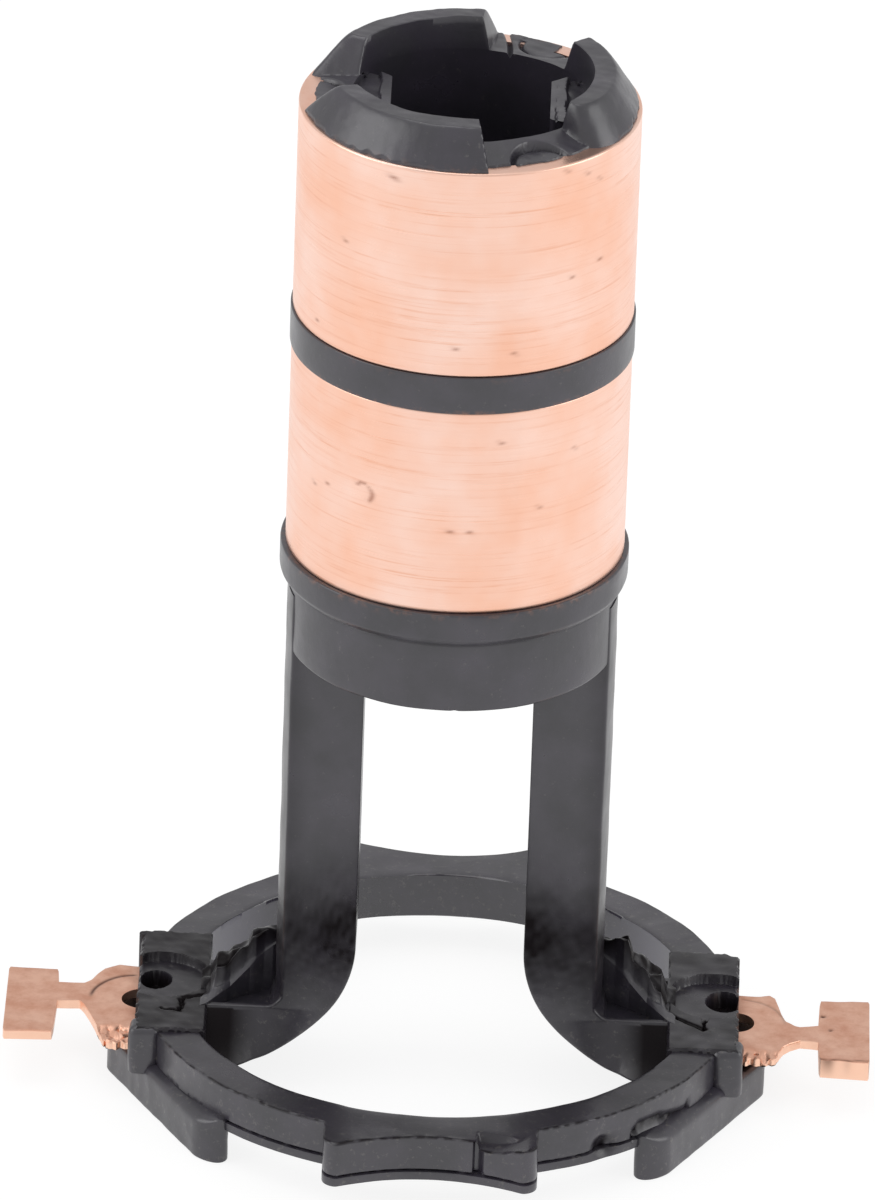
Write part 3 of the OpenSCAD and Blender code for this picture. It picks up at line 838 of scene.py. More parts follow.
# A row of ten small dents runs together into a mark like a C
c_mark = [
    (-125.0, 33.1, 0.11), (-123.6, 33.2, 0.11), (-122.2, 33.2, 0.1), (-120.9, 33.12, 0.1),
    (-119.9, 32.98, 0.11), (-119.3, 32.84, 0.11), (-119.1, 32.7, 0.11), (-119.3, 32.56, 0.11),
    (-119.9, 32.44, 0.1), (-120.7, 32.36, 0.08)]
lower_marks = c_mark + [
    (-146.1, 32.08, 0.12), (-138.8, 32.44, 0.12), (-91.3, 31.52, 0.15), (-84.6, 31.5, 0.13),
    (-46.8, 34.96, 0.12), (-75.2, 35.96, 0.13), (-60.7, 32.47, 0.12)]
track("upper_track", upper_low[2], upper_high[2], "outer_slip_ring", 31, upper_marks)
track("lower_track", lower_low[2], lower_high[2], "inner_slip_ring", 37, lower_marks)

# %% [markdown]
# ## Legs and arms
# A leg hangs from the collar as a slice of the same tube, sweeps outwards at its foot and runs on
# as an arm to the terminal boss. It could be a Curve with a bevel; a section carried down between
# an inner and an outer curve can also flare, low down, until the arm meets the ring in a sharp
# slanting edge. On top a three-cornered pocket lies before the gusset.

# %% Leg and arm curves
LEG_R = 7.57
LEG_IN = 3.875
LEG_HALF = 2.25
LEG_TOP = 25.2
SWEEP_R = 5.6
BASE_Z = 1.6
ARM_TOP = 3.98
ARM_END = 10.75
ARM_LOW = BASE_Z + 0.04


def leg_rows():
    """Inner and outer points row by row: down the leg, round the sweep, then out along the arm."""
    sweep_x = LEG_IN + SWEEP_R
    down = np.stack([np.full(50, LEG_R), np.linspace(LEG_TOP, BASE_Z + SWEEP_R, 50)], -1)
    bend = [(LEG_R, BASE_Z + SWEEP_R), (LEG_R, ARM_TOP), (sweep_x, ARM_TOP)]
    turn_out = dense(soften(bend, [0, 0.35, 0], 6), 0.07)
    along = dense(np.array([(sweep_x, ARM_TOP), (ARM_END, ARM_TOP)]), 0.07)
    outer = np.vstack([down, turn_out[1:], along[1:]])
    quarter = np.linspace(0, np.pi / 2, len(turn_out))[1:]
    swept_z = ARM_LOW + SWEEP_R - SWEEP_R * np.sin(quarter)
    swept = np.stack([sweep_x - SWEEP_R * np.cos(quarter), swept_z], -1)
    straight = np.stack([along[1:, 0], 0 * along[1:, 0] + ARM_LOW], -1)
    inner = np.vstack([np.stack([np.full(50, LEG_IN), down[:, 1]], -1), swept, straight])
    return inner, outer


def gusset_edge(x):
    """The gusset's front edge in y, and its height there, over the distance x from the axis."""
    marks = [7.3, 8.15, 9.65, 10.65, 11.2]
    edge_y = np.interp(x, marks, [0.55, 0.2, -0.9, -2.2, -2.6])
    edge_z = np.interp(x, marks, [6.1, 5.5, 4.25, 4.06, 4.0])
    return edge_y, edge_z


print("a leg and its arm have", len(leg_rows()[0]), "rows")

# %% Pockets of an arm
FRONT_POCKET = 0.45
BACK_POCKET = 1.5
SOFT = 0.08


def arm_pocket(x, y):
    """Depth under the arm's top: a box in x and y with sides 0.08 mm wide, shallow in front."""
    edge_y, _ = gusset_edge(x)
    inside_x = step_up(x, 7.7, 7.7 + SOFT) * step_up(x, 10.6, 10.6 - SOFT)
    front = step_up(y, -2.0, -2.0 + SOFT) * step_up(y, edge_y + 0.2, edge_y + 0.1)
    back = step_up(y, 1.4, 1.4 + SOFT) * step_up(y, 1.8, 1.8 - SOFT)
    return inside_x * (FRONT_POCKET * front + BACK_POCKET * back)


print("the front pocket is", FRONT_POCKET, "mm deep, the back one", BACK_POCKET, "mm")

# %% Leg and arm shape
LEG_DEPTH = 3.6
# How dark the band low on a leg and the painted shade at the arm's end are, and the band's height
DARKENING = 0.95
DARK_BAND_Z = 8.0


def leg_and_arm(side, seed):
    """Point = inner + w (outer - inner), with w and y going round a rectangle with soft corners."""
    inner, outer = leg_rows()
    rectangle = [(0, -LEG_HALF), (LEG_DEPTH, -LEG_HALF), (LEG_DEPTH, LEG_HALF), (0, LEG_HALF)]
    loop = even_loop(rectangle, 0.16, 4, 0.085)
    w = loop[None, :, 0] / LEG_DEPTH
    y = np.broadcast_to(loop[None, :, 1], (len(inner), len(loop)))
    # On the leg the outer face follows the barrel's round, on the arm it is flat
    upright_share = step_up(outer[:, 1:], ARM_TOP, ARM_TOP + 0.6)
    bulge = (LEG_R - np.sqrt(LEG_R ** 2 - y ** 2)) * upright_share
    x = inner[:, :1] + w * (outer[:, :1] - bulge - inner[:, :1])
    z = inner[:, 1:] + w * (outer[:, 1:] - inner[:, 1:])
    # The flare: nothing at the arm's top, most at its lower edge
    foot_y = np.interp(x, [5.2, 6.4, 7.1, 7.8, 8.48, 10.7], [2.25, 2.64, 2.96, 3.28, 3.5, 5.15])
    low_share = np.clip((ARM_TOP - 0.1 - z) / (ARM_TOP - 0.1 - BASE_Z), 0, 1)
    y = y * (1 + (foot_y / LEG_HALF - 1) * low_share)
    pocket = arm_pocket(x, y) * (w > 0.999)
    z = z - pocket
    points = np.stack([side * x, y, z], -1)
    uneven = 0.01 * ripple(points, 3.2, seed) + 0.002 * ripple(points, 0.8, seed + 1)
    points[..., 0] -= side * uneven * (w > 0.5)
    points[..., 1] += uneven * np.sign(y)
    # A darker band lies low on the leg, most at its inner edge
    patchy = 1 + 0.12 * ripple(points, 1.6, seed + 2) + 0.12 * ripple(points, 0.5, seed + 3)
    shade = DARKENING * bell(z - DARK_BAND_Z, 2.6) * (1 - 0.5 * w) * patchy * (x < 8)
    # Painted shade on the end of the arm's front, where the ring and the boss shade it
    shade = shade + DARKENING * step_up(x, 8.2, 10.3) * (y < -2.3)
    # The arm is a little darker outside its pocket
    shade = shade + 0.3 * step_up(x, 6.0, 7.5) * (pocket == 0)
    return tube(points), np.clip(shade, 0, 1).ravel()


print("a leg is", 2 * LEG_HALF, "mm wide")

# %% Leg and arm pieces
for name, side, seed in (("leg_left", -1, 41), ("leg_right", 1, 43)):
    leg, shade = leg_and_arm(side, seed)
    moulded(name, [leg], marks_and_painted_light=shade)

# %% [markdown]
# ## Gussets
# A gusset is the lumpy rib of compound that covers the buried copper strip between leg and boss.
# Its ridge is broken flash, with a crack along it. Sculpting would be quick to do once and hard
# to change; as a height over a grid each break is a number.


# %% Gusset shape
def to_line(x, y, line):
    """Distance in plan from each point to a broken line: the least over its segments."""
    least = np.full(np.shape(x), 9.0)
    for (ax, ay), (bx, by) in zip(line[:-1], line[1:]):
        run_x = bx - ax
        run_y = by - ay
        t = np.clip(((x - ax) * run_x + (y - ay) * run_y) / (run_x ** 2 + run_y ** 2), 0, 1)
        least = np.minimum(least, np.hypot(x - ax - t * run_x, y - ay - t * run_y))
    return least


GUSSET_LOW = 2.45
GUSSET_BACK = 1.28
ARM_SKIN = 3.95
gusset_crack = [(11.02, -1.49), (10.8, -0.7), (9.9, -0.35), (9.2, 0.1), (8.3, 0.5), (7.5, 0.6)]


def gusset(side, seed):
    """Height up a slope to a broken ridge that steps down once, then falls off behind."""
    u, v = np.meshgrid(np.linspace(7.35, 11.0, 74), np.linspace(0, 1, 56), indexing="ij")
    front_y, front_z = gusset_edge(u)
    y = front_y + v * (GUSSET_BACK - front_y)
    on_grid = np.stack([u, y, 0 * u], -1)
    lumps = 0.15 * ripple(on_grid, 1.3, seed) + 0.03 * ripple(on_grid, 0.6, seed + 1)
    ridge_marks = [7.3, 8.7, 8.9, 9.6, 9.8, 10.3, 10.6, 11.0]
    ridge = np.interp(u, ridge_marks, [6.45, 6.4, 5.9, 5.5, 5.2, 5.0, 4.2, 4.0])
    # On the right it stands higher where it meets the leg
    ridge = ridge + 0.35 * (side > 0) * step_up(u, 9.0, 8.8)
    top_y = 0.15 + 0.12 * np.sin(3 * u)
    rise = np.clip((y - front_y) / np.maximum(top_y - front_y, 0.25), 0, 1)
    band = step_up(rise, 0.3, 0.55)
    slope = 0.25 * (ridge - front_z) * np.minimum(rise / 0.4, 1)
    top = front_z + slope + (0.75 * (ridge - front_z) + lumps) * band
    top = ARM_SKIN + np.maximum(top - ARM_SKIN, 0) * (1 - 0.97 * step_up(y, 1.02, 1.27))
    crack = to_line(u, y, gusset_crack)
    top -= 0.16 * bell(crack, 0.07) * step_up(v, 0.1, 0.2)
    matte = np.clip(0.9 + 0.15 * ripple(on_grid, 0.7, seed + 2), 0, 1)
    broken = (np.clip(band + 0.9 * bell(crack, 0.12), 0, 1) * matte).ravel()
    return slab(side * u, y, top, GUSSET_LOW), np.concatenate([broken, broken])


print("a point over the crack's start is", to_line(11.02, -1.49, gusset_crack), "mm from it")

# %% Gusset pieces
left_gusset, left_broken = gusset(-1, 45)
right_gusset, right_broken = gusset(1, 47)
broken = np.concatenate([left_broken, right_broken])
both_gussets = [left_gusset, right_gusset]
moulded("gussets", both_gussets, marks_and_painted_light=broken)

# %% [markdown]
# ## Base ring
# The ring is a square section carried round in 1296 steps of 0.28 degrees. Its outside swells into
# a scalloped lug at the front and the back: the outline there is the nearest of the lug's sides,
# its outer face and a circle that bites into it. A Boolean cut would leave long thin faces at the
# scallop. A lip stands out below the mould's parting line, and broken flash follows the upper
# outer edge.

# %% Base ring outline
RING_IN = 11.9
RING_OUT = 13.85
RING_STEP = 0.07
LUG_HALF = 4.9
LUG_OUT = 15.075
SCALLOP_Y = 23.4
SCALLOP_R = 9.4
HORN_R = 0.7


def ring_outline(angle):
    """Larger of the ring's radius and the lug's: a soft minimum of side, face and scallop."""
    across = np.maximum(np.abs(np.cos(angle)), 1e-6)
    along = np.maximum(np.abs(np.sin(angle)), 1e-6)
    inside_root = np.maximum(SCALLOP_R ** 2 - (SCALLOP_Y * across) ** 2, 0)
    bitten = SCALLOP_Y * along - np.sqrt(inside_root)
    scallop = np.where(SCALLOP_Y * across < SCALLOP_R, bitten, 30)
    face_y = LUG_OUT - RING_STEP
    plain = np.minimum(LUG_HALF / across, face_y / along)
    # A ray meets the horn's round corner where its distance along is c·u + sqrt(r² - (c × u)²)
    centre_x = LUG_HALF - HORN_R
    centre_y = face_y - HORN_R
    beside = centre_x * along - centre_y * across
    corner_root = np.sqrt(np.maximum(HORN_R ** 2 - beside ** 2, 0))
    horn = centre_x * across + centre_y * along + corner_root
    at_horn = (across / along > centre_x / face_y) & (across / along < LUG_HALF / centre_y)
    lug = soft_min(0.03, np.where(at_horn, horn, plain), scallop)
    return np.maximum(RING_OUT - RING_STEP, lug)


print("ring outline at the side and the front", ring_outline(np.array([0, np.pi / 2])).round(2))

# %% Base ring section
RING_TOP = 3.85
LIP_TOP = 2.1
# Share of the way from the inner to the outer wall, and height, once round the section
up_outside = [(0.999, 1.66)]
for level in (1.8, 1.98, 2.05, 2.09, 2.13, 2.2, 2.4, 2.65, 2.9, 3.15, 3.4, 3.6, 3.7, 3.77):
    up_outside.append((1, level))
over_top = [(0.985, 3.83)]
for share in (0.955, 0.92, 0.85, 0.78, 0.72, 0.69, 0.66, 0.63, 0.58, 0.5, 0.35, 0.2, 0.08):
    over_top.append((share, RING_TOP))
over_top += [(0.03, 3.83), (0, 3.77)]
down_inside = [(0, 3.4), (0, 2.9), (0, 2.4), (0, 1.9), (0, 1.66)]
down_inside += [(0.04, BASE_Z), (0.5, BASE_Z), (0.96, BASE_Z)]
section = np.array(up_outside + over_top + down_inside)
share, level = section[:, :1], section[:, 1:]
on_wall = (share > 0.99).astype(float)
round_ring = full_turn(1296)
wall = ring_outline(round_ring)
lip = RING_STEP * on_wall * (level < LIP_TOP - 0.04)
ring_points = around(RING_IN + share * (wall - RING_IN) + lip, level, round_ring)
x, y, z = np.moveaxis(ring_points, -1, 0)
print("the ring has", ring_points.shape[0], "rows of", ring_points.shape[1], "points")

# %% [markdown]
# ### Marks on the base ring
# The mould's parting line is a fine ragged groove. To the right of the front lug's slot the top
# is lower, and beside it the wall has a chip and a deep crease. All of them are Gaussians or steps
# that lower the wall; in a sculpted mesh they would have to be found again after each change.

# %% Seam, chip and crease
CHIP_WAY = 305.0
CHIP_Z = 2.3
degrees = np.degrees(round_ring)
ragged = 0.5 + 0.35 * ripple(ring_points, 0.55, 53)
seam = 0.13 * bell(level - LIP_TOP, 0.035) * np.clip(0.7 + ragged, 0.2, 1.6) * on_wall
right_of_slot = step_up(x, 2.1, 2.3) * step_up(x, 4.6, 2.8) * (y < 0)
z = z - 0.42 * right_of_slot * step_up(share, 0.62, 0.7) * step_up(z, 3.0, 3.8)
slot_side = np.exp(-((x - 2.2) / 0.22) ** 4) * (y < -13.6) * (z > LIP_TOP + 0.02)
seam = seam + 0.35 * slot_side * on_wall
chip = np.exp(-((degrees - CHIP_WAY) / 2.3) ** 2 - ((z - CHIP_Z) / 0.42) ** 2) * on_wall
crease_ways = [311.7, 313.7, 319.1, 327.1, 328.8]
crease_z = np.interp(degrees, crease_ways, [2.22, 2.58, 2.58, 2.05, 2.35])
crease_ends = step_up(degrees, 311.2, 312.5) * step_up(degrees, 329.3, 328.0)
crease = bell(z - crease_z, 0.22) * crease_ends * on_wall
seam = seam + 0.45 * chip + 0.3 * crease
print("the wall is lowered by", seam.max().round(2), "mm at most")

# %% Unevenness of the ring
flash_edge = bell(share - 0.975, 0.03) * (level > 3.7)
z = z + 0.025 * np.clip(ripple(ring_points, 0.9, 55), -0.6, 1.2) * flash_edge * step_up(y, 4, -2)
z = z - 0.02 * np.clip(1 + ripple(ring_points, 3.5, 56), 0, 2) * (level > 3.8)
# Under the bosses the ring is left low, so that it does not stand in their wells
BOSS_IN = 10.65
BOSS_OUT = 13.95
BOSS_HALF = 4.85
under_boss = (np.abs(y) < BOSS_HALF - 0.15) & (np.abs(x) > BOSS_IN + 0.05)
z = np.where(under_boss, np.minimum(z, 2.2), z)
slow = 0.008 * (1.8 + ripple(ring_points, 3.0, 51))
quick = 0.003 * (1.8 + ripple(ring_points, 0.9, 52))
swell = (slow + quick) * (share > 0.01)
shrink = 1 - (seam + swell) / np.hypot(x, y)
ring_points = np.stack([x * shrink, y * shrink, z], -1)
print("lowest point under the bosses", z[under_boss].min().round(2), "mm")

# %% Base ring piece
marks_and_painted_light = flash_edge * np.clip(ragged * 1.8, 0, 1)
# Painted shade darkens the front of the top, and the chip and the crease are broken and matte
marks_and_painted_light = np.maximum(marks_and_painted_light, 0.3 * (y < 0) * (level > 3.8))
marks_and_painted_light = np.maximum(marks_and_painted_light, np.clip(chip + crease, 0, 0.85) * np.clip(ragged + 0.5, 0, 1))
# The wall inside is polished, and behind the legs a crescent of painted reflection lightens it
to_side = np.degrees(np.arcsin(np.abs(x) / np.hypot(x, y)))
polish_and_painted_reflection = -0.5 - 0.5 * bell(to_side - 60.0, 14.0) * (y > 0)
marks_and_painted_light = np.where((share < 0.01) & (level < 3.8), polish_and_painted_reflection, marks_and_painted_light).ravel()
ring_shell = torus(ring_points)
moulded("base_ring", [ring_shell], marks_and_painted_light=marks_and_painted_light)

# %% [markdown]
# ## Terminal bosses
# Each boss is a block at the end of an arm with a round well in its top. Under the well the pad of
# the terminal shows through a sight hole; here the hole's floor stops just above the pad and is
# painted nearly black, a painted shade. It could be a Boolean of cylinders; a height over a fine
# grid gives well and hole too, with walls one cell steep, and lets the darker top and the ragged
# flash be drawn on it.

# %% Top of a boss
BOSS_TOP = 4.05
WELL_DEPTH = 0.45
SIGHT_DEPTH = 0.8


def boss_top(x, y, well, sight, crack, seed):
    """Top level, less well and sight hole, slow waves, a crack, and a broken edge all round."""
    points = np.stack([x, y, 0 * x], -1)
    top = BOSS_TOP - WELL_DEPTH * well - SIGHT_DEPTH * sight
    slow = 0.01 * (1.8 + ripple(points, 2.2, seed))
    quick = 0.005 * (1.8 + ripple(points, 0.8, seed + 1))
    top = top - (slow + quick) * (1 - sight)
    top = top - 0.2 * bell(crack, 0.08)
    edge = np.minimum(np.minimum(x - BOSS_IN, BOSS_OUT - x), BOSS_HALF - np.abs(y))
    ragged = 0.5 + 0.4 * ripple(points, 0.5, seed + 2)
    return top - (0.07 + 0.08 * np.clip(ragged, 0, 1)) * step_up(edge, 0.14, 0) ** 2


print("the floor of a sight hole lies at", round(BOSS_TOP - WELL_DEPTH - SIGHT_DEPTH, 2), "mm")

# %% Boss shape
BOSS_LOW = BASE_Z + 0.02
# The well's x, y and radius
WELL = (12.78, 0.5, 2.125)
SIGHT_Y = 0.75


def boss(side, seed, crack_line, sight_x, sight_r, top_darkness):
    """A sheet over x and y with top and bottom heights, whose outer and back walls are ragged."""
    across = np.linspace(BOSS_IN, BOSS_OUT, 66)
    x, y = np.meshgrid(across, np.linspace(-BOSS_HALF, BOSS_HALF, 184), indexing="ij")
    points = np.stack([x, y, 0 * x], -1)
    well = step_up(np.hypot(x - WELL[0], y - WELL[1]), WELL[2] + 0.05, WELL[2] - 0.05)
    from_sight = np.hypot((x - sight_x) * 1.2, y - SIGHT_Y)
    sight = step_up(from_sight, sight_r + 0.05, sight_r - 0.05)
    wander = 0.06 * ripple(points, 0.5, seed + 3)
    crack = to_line(x + wander, y - wander, crack_line)
    top = boss_top(x, y, well, sight, crack, seed)
    # The outer and back walls are ragged from broken flash
    rough = np.clip(0.6 + ripple(points, 0.42, seed + 5), 0, 1.6)
    x = x - 0.07 * rough * step_up(x, 13.6, BOSS_OUT)
    y = y - 0.08 * rough * step_up(y, 4.5, BOSS_HALF)
    # The back outer corner ends in a spur on the left and is knocked off on the right
    corner = step_up(x, 13.1, BOSS_OUT) * step_up(y, 4.4, BOSS_HALF)
    x = x + 0.25 * corner * (side < 0)
    y = y - 0.55 * corner * (side > 0)
    # The top is darker in patches and less in the well, the crack is dark, and the sight hole's
    # floor is painted nearly black as painted shade
    patchy = np.clip(top_darkness + 0.08 * ripple(points, 1.4, seed + 4), 0.1, 0.8)
    worn = patchy * (1 - 0.35 * well) + bell(crack, 0.12) + sight
    worn = np.clip(worn, 0, 1).ravel()
    return slab(side * x, y, top, BOSS_LOW), np.concatenate([worn, 0.3 * worn])


print("a boss stands from", BOSS_LOW, "to", BOSS_TOP, "mm")

# %% Boss pieces
crack_left = [(12.70, -2.86), (11.89, -3.04), (11.82, -1.80), (11.02, -1.49), (10.4, -1.2)]
crack_right = [(12.45, -1.34), (12.32, -2.88), (11.01, -1.77), (10.5, -1.2)]
# Name, side, seed, crack, the sight hole's place and radius, and how much darker the top is
bosses = (("boss_left", -1, 61, crack_left, 13.13, 0.85, 0.74),
          ("boss_right", 1, 66, crack_right, 13.25, 0.98, 0.55))
for name, side, seed, crack_line, sight_x, sight_r, top_darkness in bosses:
    block, worn = boss(side, seed, crack_line, sight_x, sight_r, top_darkness)
    moulded(name, [block], marks_and_painted_light=worn)

# %% [markdown]
# ## Jaws
# A small jaw stands at the front of each boss, with rounded corners and a softly rounded top. A
# Bevel modifier would do both with one radius; an outline stacked up with its own inset at each
# level has a small radius at the corners and a larger one on top.


# %% Jaw shape and piece
def pillar(corner_points, radius, levels):
    """A rounded outline p stacked up: the point is p - inset n, with n the outline's normal."""
    loop = even_loop(corner_points, radius, 7, 0.12)
    run = np.roll(loop, -1, 0) - np.roll(loop, 1, 0)
    normal = np.stack([run[:, 1], -run[:, 0]], -1) / np.linalg.norm(run, axis=1, keepdims=True)
    middle = loop.mean(0)
    normal *= np.sign(np.sum(normal * (loop - middle), axis=1).sum())
    z, inset = np.array(levels).T
    plan = loop[None] - inset[:, None, None] * normal[None]
    return np.concatenate([plan, np.broadcast_to(z[:, None, None], plan.shape[:2] + (1,))], -1)


def jaw(side, seed):
    """The pillar of a small rectangle, with slow waves of 0.02 mm on its sides."""
    plan = [(12.7, -5.0), (14.2, -5.0), (14.2, -3.6), (12.7, -3.6)]
    # Height and inset
    levels = [(1.63, 0.05), (1.7, 0.0), (2.4, 0.0), (3.1, 0.0), (3.62, 0.0), (3.8, 0.04),
              (3.92, 0.13), (3.98, 0.26), (4.0, 0.42)]
    points = pillar(plan, 0.45, levels)
    points[..., :2] -= 0.02 * ripple(points, 1.3, seed)[..., None]
    points[..., 0] *= side
    return tube(points)


moulded("jaws", [jaw(-1, 67), jaw(1, 68)])

# %% [markdown]
# ## Feet
# A foot is a bar with a shallow V shape seen from above, standing lower than the ring. It could be
# two boxes with bevels; a section carried along it in Y can also narrow along a circle near its
# ends, which rounds them. The bar's top slopes down from the ring's wall, as moulded parts do where
# they must leave the mould.

# %% Foot shape
FOOT_OUT = 15.25
FOOT_IN = 11.05
FOOT_REACH = 14.2
FOOT_TURN = math.radians(28.5)
FOOT_END = 10.2
FOOT_WIDE = 1.593
FOOT_ROUND = 0.78
FOOT_TOP = 2.25
FOOT_EDGE = 1.98
STRAIGHT_END = 4.9


def foot(side, seed):
    """Outer edge is the nearer of a plane and the slanted face; the inner is a width inside."""
    quarter = np.linspace(0.05, 1, 24) * np.pi / 2
    round_end = FOOT_END - FOOT_ROUND * (1 - np.sin(quarter))
    half = np.concatenate([np.linspace(0, 4.87, 36), np.linspace(4.95, 9.4, 42), round_end])
    y = np.concatenate([-half[::-1], half[1:]])[:, None]
    slanted = (FOOT_REACH - np.abs(y) * math.sin(FOOT_TURN)) / math.cos(FOOT_TURN)
    out = soft_min(0.05, FOOT_OUT, slanted)
    inn = np.where(np.abs(y) > STRAIGHT_END, slanted - FOOT_WIDE, FOOT_IN)
    past = np.maximum(0, np.abs(y) - (FOOT_END - FOOT_ROUND)) * 0.999
    taken = FOOT_ROUND - np.sqrt(FOOT_ROUND ** 2 - past ** 2)
    out = out - taken
    inn = inn + taken
    # Share of the width, and height
    outline = [(0, 0), (1, 0), (1, FOOT_EDGE), (0.42, FOOT_TOP), (0, FOOT_TOP)]
    loop = even_loop(outline, [0.1, 0.1, 0.3, 0.05, 0.2], 5, 0.12)
    x = inn + loop[None, :, 0] * (out - inn)
    z = np.broadcast_to(loop[None, :, 1], x.shape)
    points = np.stack([side * x, np.broadcast_to(y, x.shape), z], -1)
    points[..., 0] -= side * 0.012 * np.abs(ripple(points, 2.4, seed))
    # Rough where the terminal's hole opens on it
    rough = (np.abs(points[..., 1]) < 3) & (points[..., 2] > 1.9)
    return tube(points), rough.ravel().astype(float)


print("the feet reach from y", -FOOT_END, "to", FOOT_END, "mm")

# %% Foot pieces
for name, side, seed in (("foot_left", -1, 71), ("foot_right", 1, 73)):
    bar, rough = foot(side, seed)
    moulded(name, [bar], marks_and_painted_light=rough)

# %% [markdown]
# ## Terminals
# A terminal is punched from 0.45 mm strip: a pad with a hole, a neck and a tab that the winding's
# end is welded to. It could be a Curve outline with a hole, given a thickness; but a filled curve
# has no grid to bend or scratch. Seen from above its edge is two curves over x. The sheet is split
# along the hole's middle, so that the hole is a gap between two bands.

# %% Terminal plan
STRIP_LOW = lead_low[2]
STRIP_TOP = 2.75
TAB_OUT = lead_high[0]
TAB_FOLD_X = 17.72
HOLE_X = 13.75
HOLE_Y = 0.35
HOLE_R = 0.95


def terminal_columns(start):
    """Values of x, even but along a cosine over the hole, and which of them lie over the hole."""
    before = np.linspace(start, HOLE_X - HOLE_R, 24)[:-1]
    over_hole = HOLE_X - HOLE_R * np.cos(np.linspace(0, np.pi, 41))
    after = dense(np.array([(HOLE_X + HOLE_R, 0.0), (TAB_OUT, 0.0)]), 0.06)[1:, 0]
    in_hole = slice(len(before), len(before) + len(over_hole))
    return np.concatenate([before, over_hole, after]), in_hole


def terminal_bands(side, x, y_high, y_low):
    """Two grids: from the lower and from the upper edge to the middle line."""
    beside = np.sqrt(np.maximum(0, HOLE_R ** 2 - (x - HOLE_X) ** 2))
    half_gap = beside * (np.abs(x - HOLE_X) < HOLE_R)
    low = np.interp(x, *y_low)
    high = np.interp(x, *y_high)
    middle = np.clip(HOLE_Y + 0 * x, low + 0.3, high - 0.3)
    # The punch pulled the strip's edge down by 0.09 mm
    t = np.concatenate([[0, 0.0, 0.02], np.linspace(0.06, 0.94, 26), [0.98, 1.0, 1.0]])
    drop = np.concatenate([[0.09, 0.03, 0.0], np.zeros(26), [0.0, 0.0, 0.0]])
    bands = []
    for edge, inner in ((low, middle - half_gap), (high, middle + half_gap)):
        y = edge[:, None] + (inner - edge)[:, None] * t
        bands.append(np.stack([side * x[:, None] + 0 * y, y, STRIP_TOP - drop + 0 * y], -1))
    return bands


print("columns over the terminal", len(terminal_columns(10.9)[0]))

# %% [markdown]
# ### Marks on the terminals
# A round scratch on the pad, two pits and a hem on the right tab, and the torn front edge of the
# pad. Each moves the top's points; the scratch and the pits also leave a stain, and a painted
# shadow lies along the hem's fold.

# %% Terminal marks
SCRATCH_R = 2.38
# Pits as x, y and radius
tab_pits = ((17.89, 1.32, 0.13), (18.25, -0.04, 0.1))


def mark_terminal(top, side, seed):
    """Lowers points by Gaussians of the distance to scratch and pits, and by a burr."""
    top[:, 2] += 0.008 * ripple(top, 1.6, seed) - 0.01
    arc = np.hypot(top[:, 0] * side - HOLE_X, top[:, 1] - HOLE_Y)
    scratch = bell(arc - SCRATCH_R, 0.09) * step_up(top[:, 1], 0.2, 0.9)
    scratch = scratch * step_up(side * top[:, 0], 13.9, 14.3)
    top[:, 2] -= 0.035 * scratch
    stain_and_shadow = scratch * (0.9 if side < 0 else 0.35)
    for pit_x, pit_y, pit_r in tab_pits:
        off = (top[:, 0] - pit_x) ** 2 + (top[:, 1] - pit_y) ** 2
        pit = (side > 0) * np.exp(-(off / pit_r ** 2))
        top[:, 2] -= 0.1 * pit
        stain_and_shadow = np.maximum(stain_and_shadow, pit)
    # The pad's front edge was torn, not cut, and left a lumpy burr
    torn = step_up(-top[:, 1], 2.2, 2.8) * step_up(side * top[:, 0], 13.8, 14.2)
    torn = torn * step_up(side * top[:, 0], 16.0, 15.7)
    lumps = ripple(top, 0.55, seed + 1)
    top[:, 2] -= 0.07 * (1.6 + lumps).clip(0) * torn
    top[:, 1] += 0.07 * ripple(top, 0.45, seed + 2) * torn
    # A painted shadow along the hem's fold
    fold_line = top[:, 1] + 2.93 + 0.03 * np.sin(7 * top[:, 0])
    fold = bell(fold_line, 0.07) * (top[:, 0] > TAB_FOLD_X)
    return np.maximum(stain_and_shadow, 0.7 * fold)


print("the scratch is an arc of", SCRATCH_R, "mm round the hole's middle")


# %% Terminal solid
def edge_wall(line, under):
    """Quads from a line of top points down to the same line of bottom points."""
    return np.stack([line[:-1], line[1:], line[1:] + under, line[:-1] + under], -1)


def terminal_faces(rows, cols, in_hole):
    """Both bands above and below, and walls along both edges, both ends and round the hole."""
    count = rows * cols
    number = np.arange(count).reshape(rows, cols)
    grid = quads(rows, cols)
    faces = [grid, grid[:, ::-1] + count, grid[:, ::-1] + 2 * count, grid + 3 * count]
    # Each line of the first band is walled one way round, the same line of the second the other way
    for line, forward in ((number[:, 0], False), (number[in_hole, -1], True),
                          (number[0], True), (number[-1], False)):
        first = edge_wall(line, 2 * count)
        second = edge_wall(line + count, 2 * count)
        faces += [first, second[:, ::-1]] if forward else [first[:, ::-1], second]
    return np.vstack(faces)


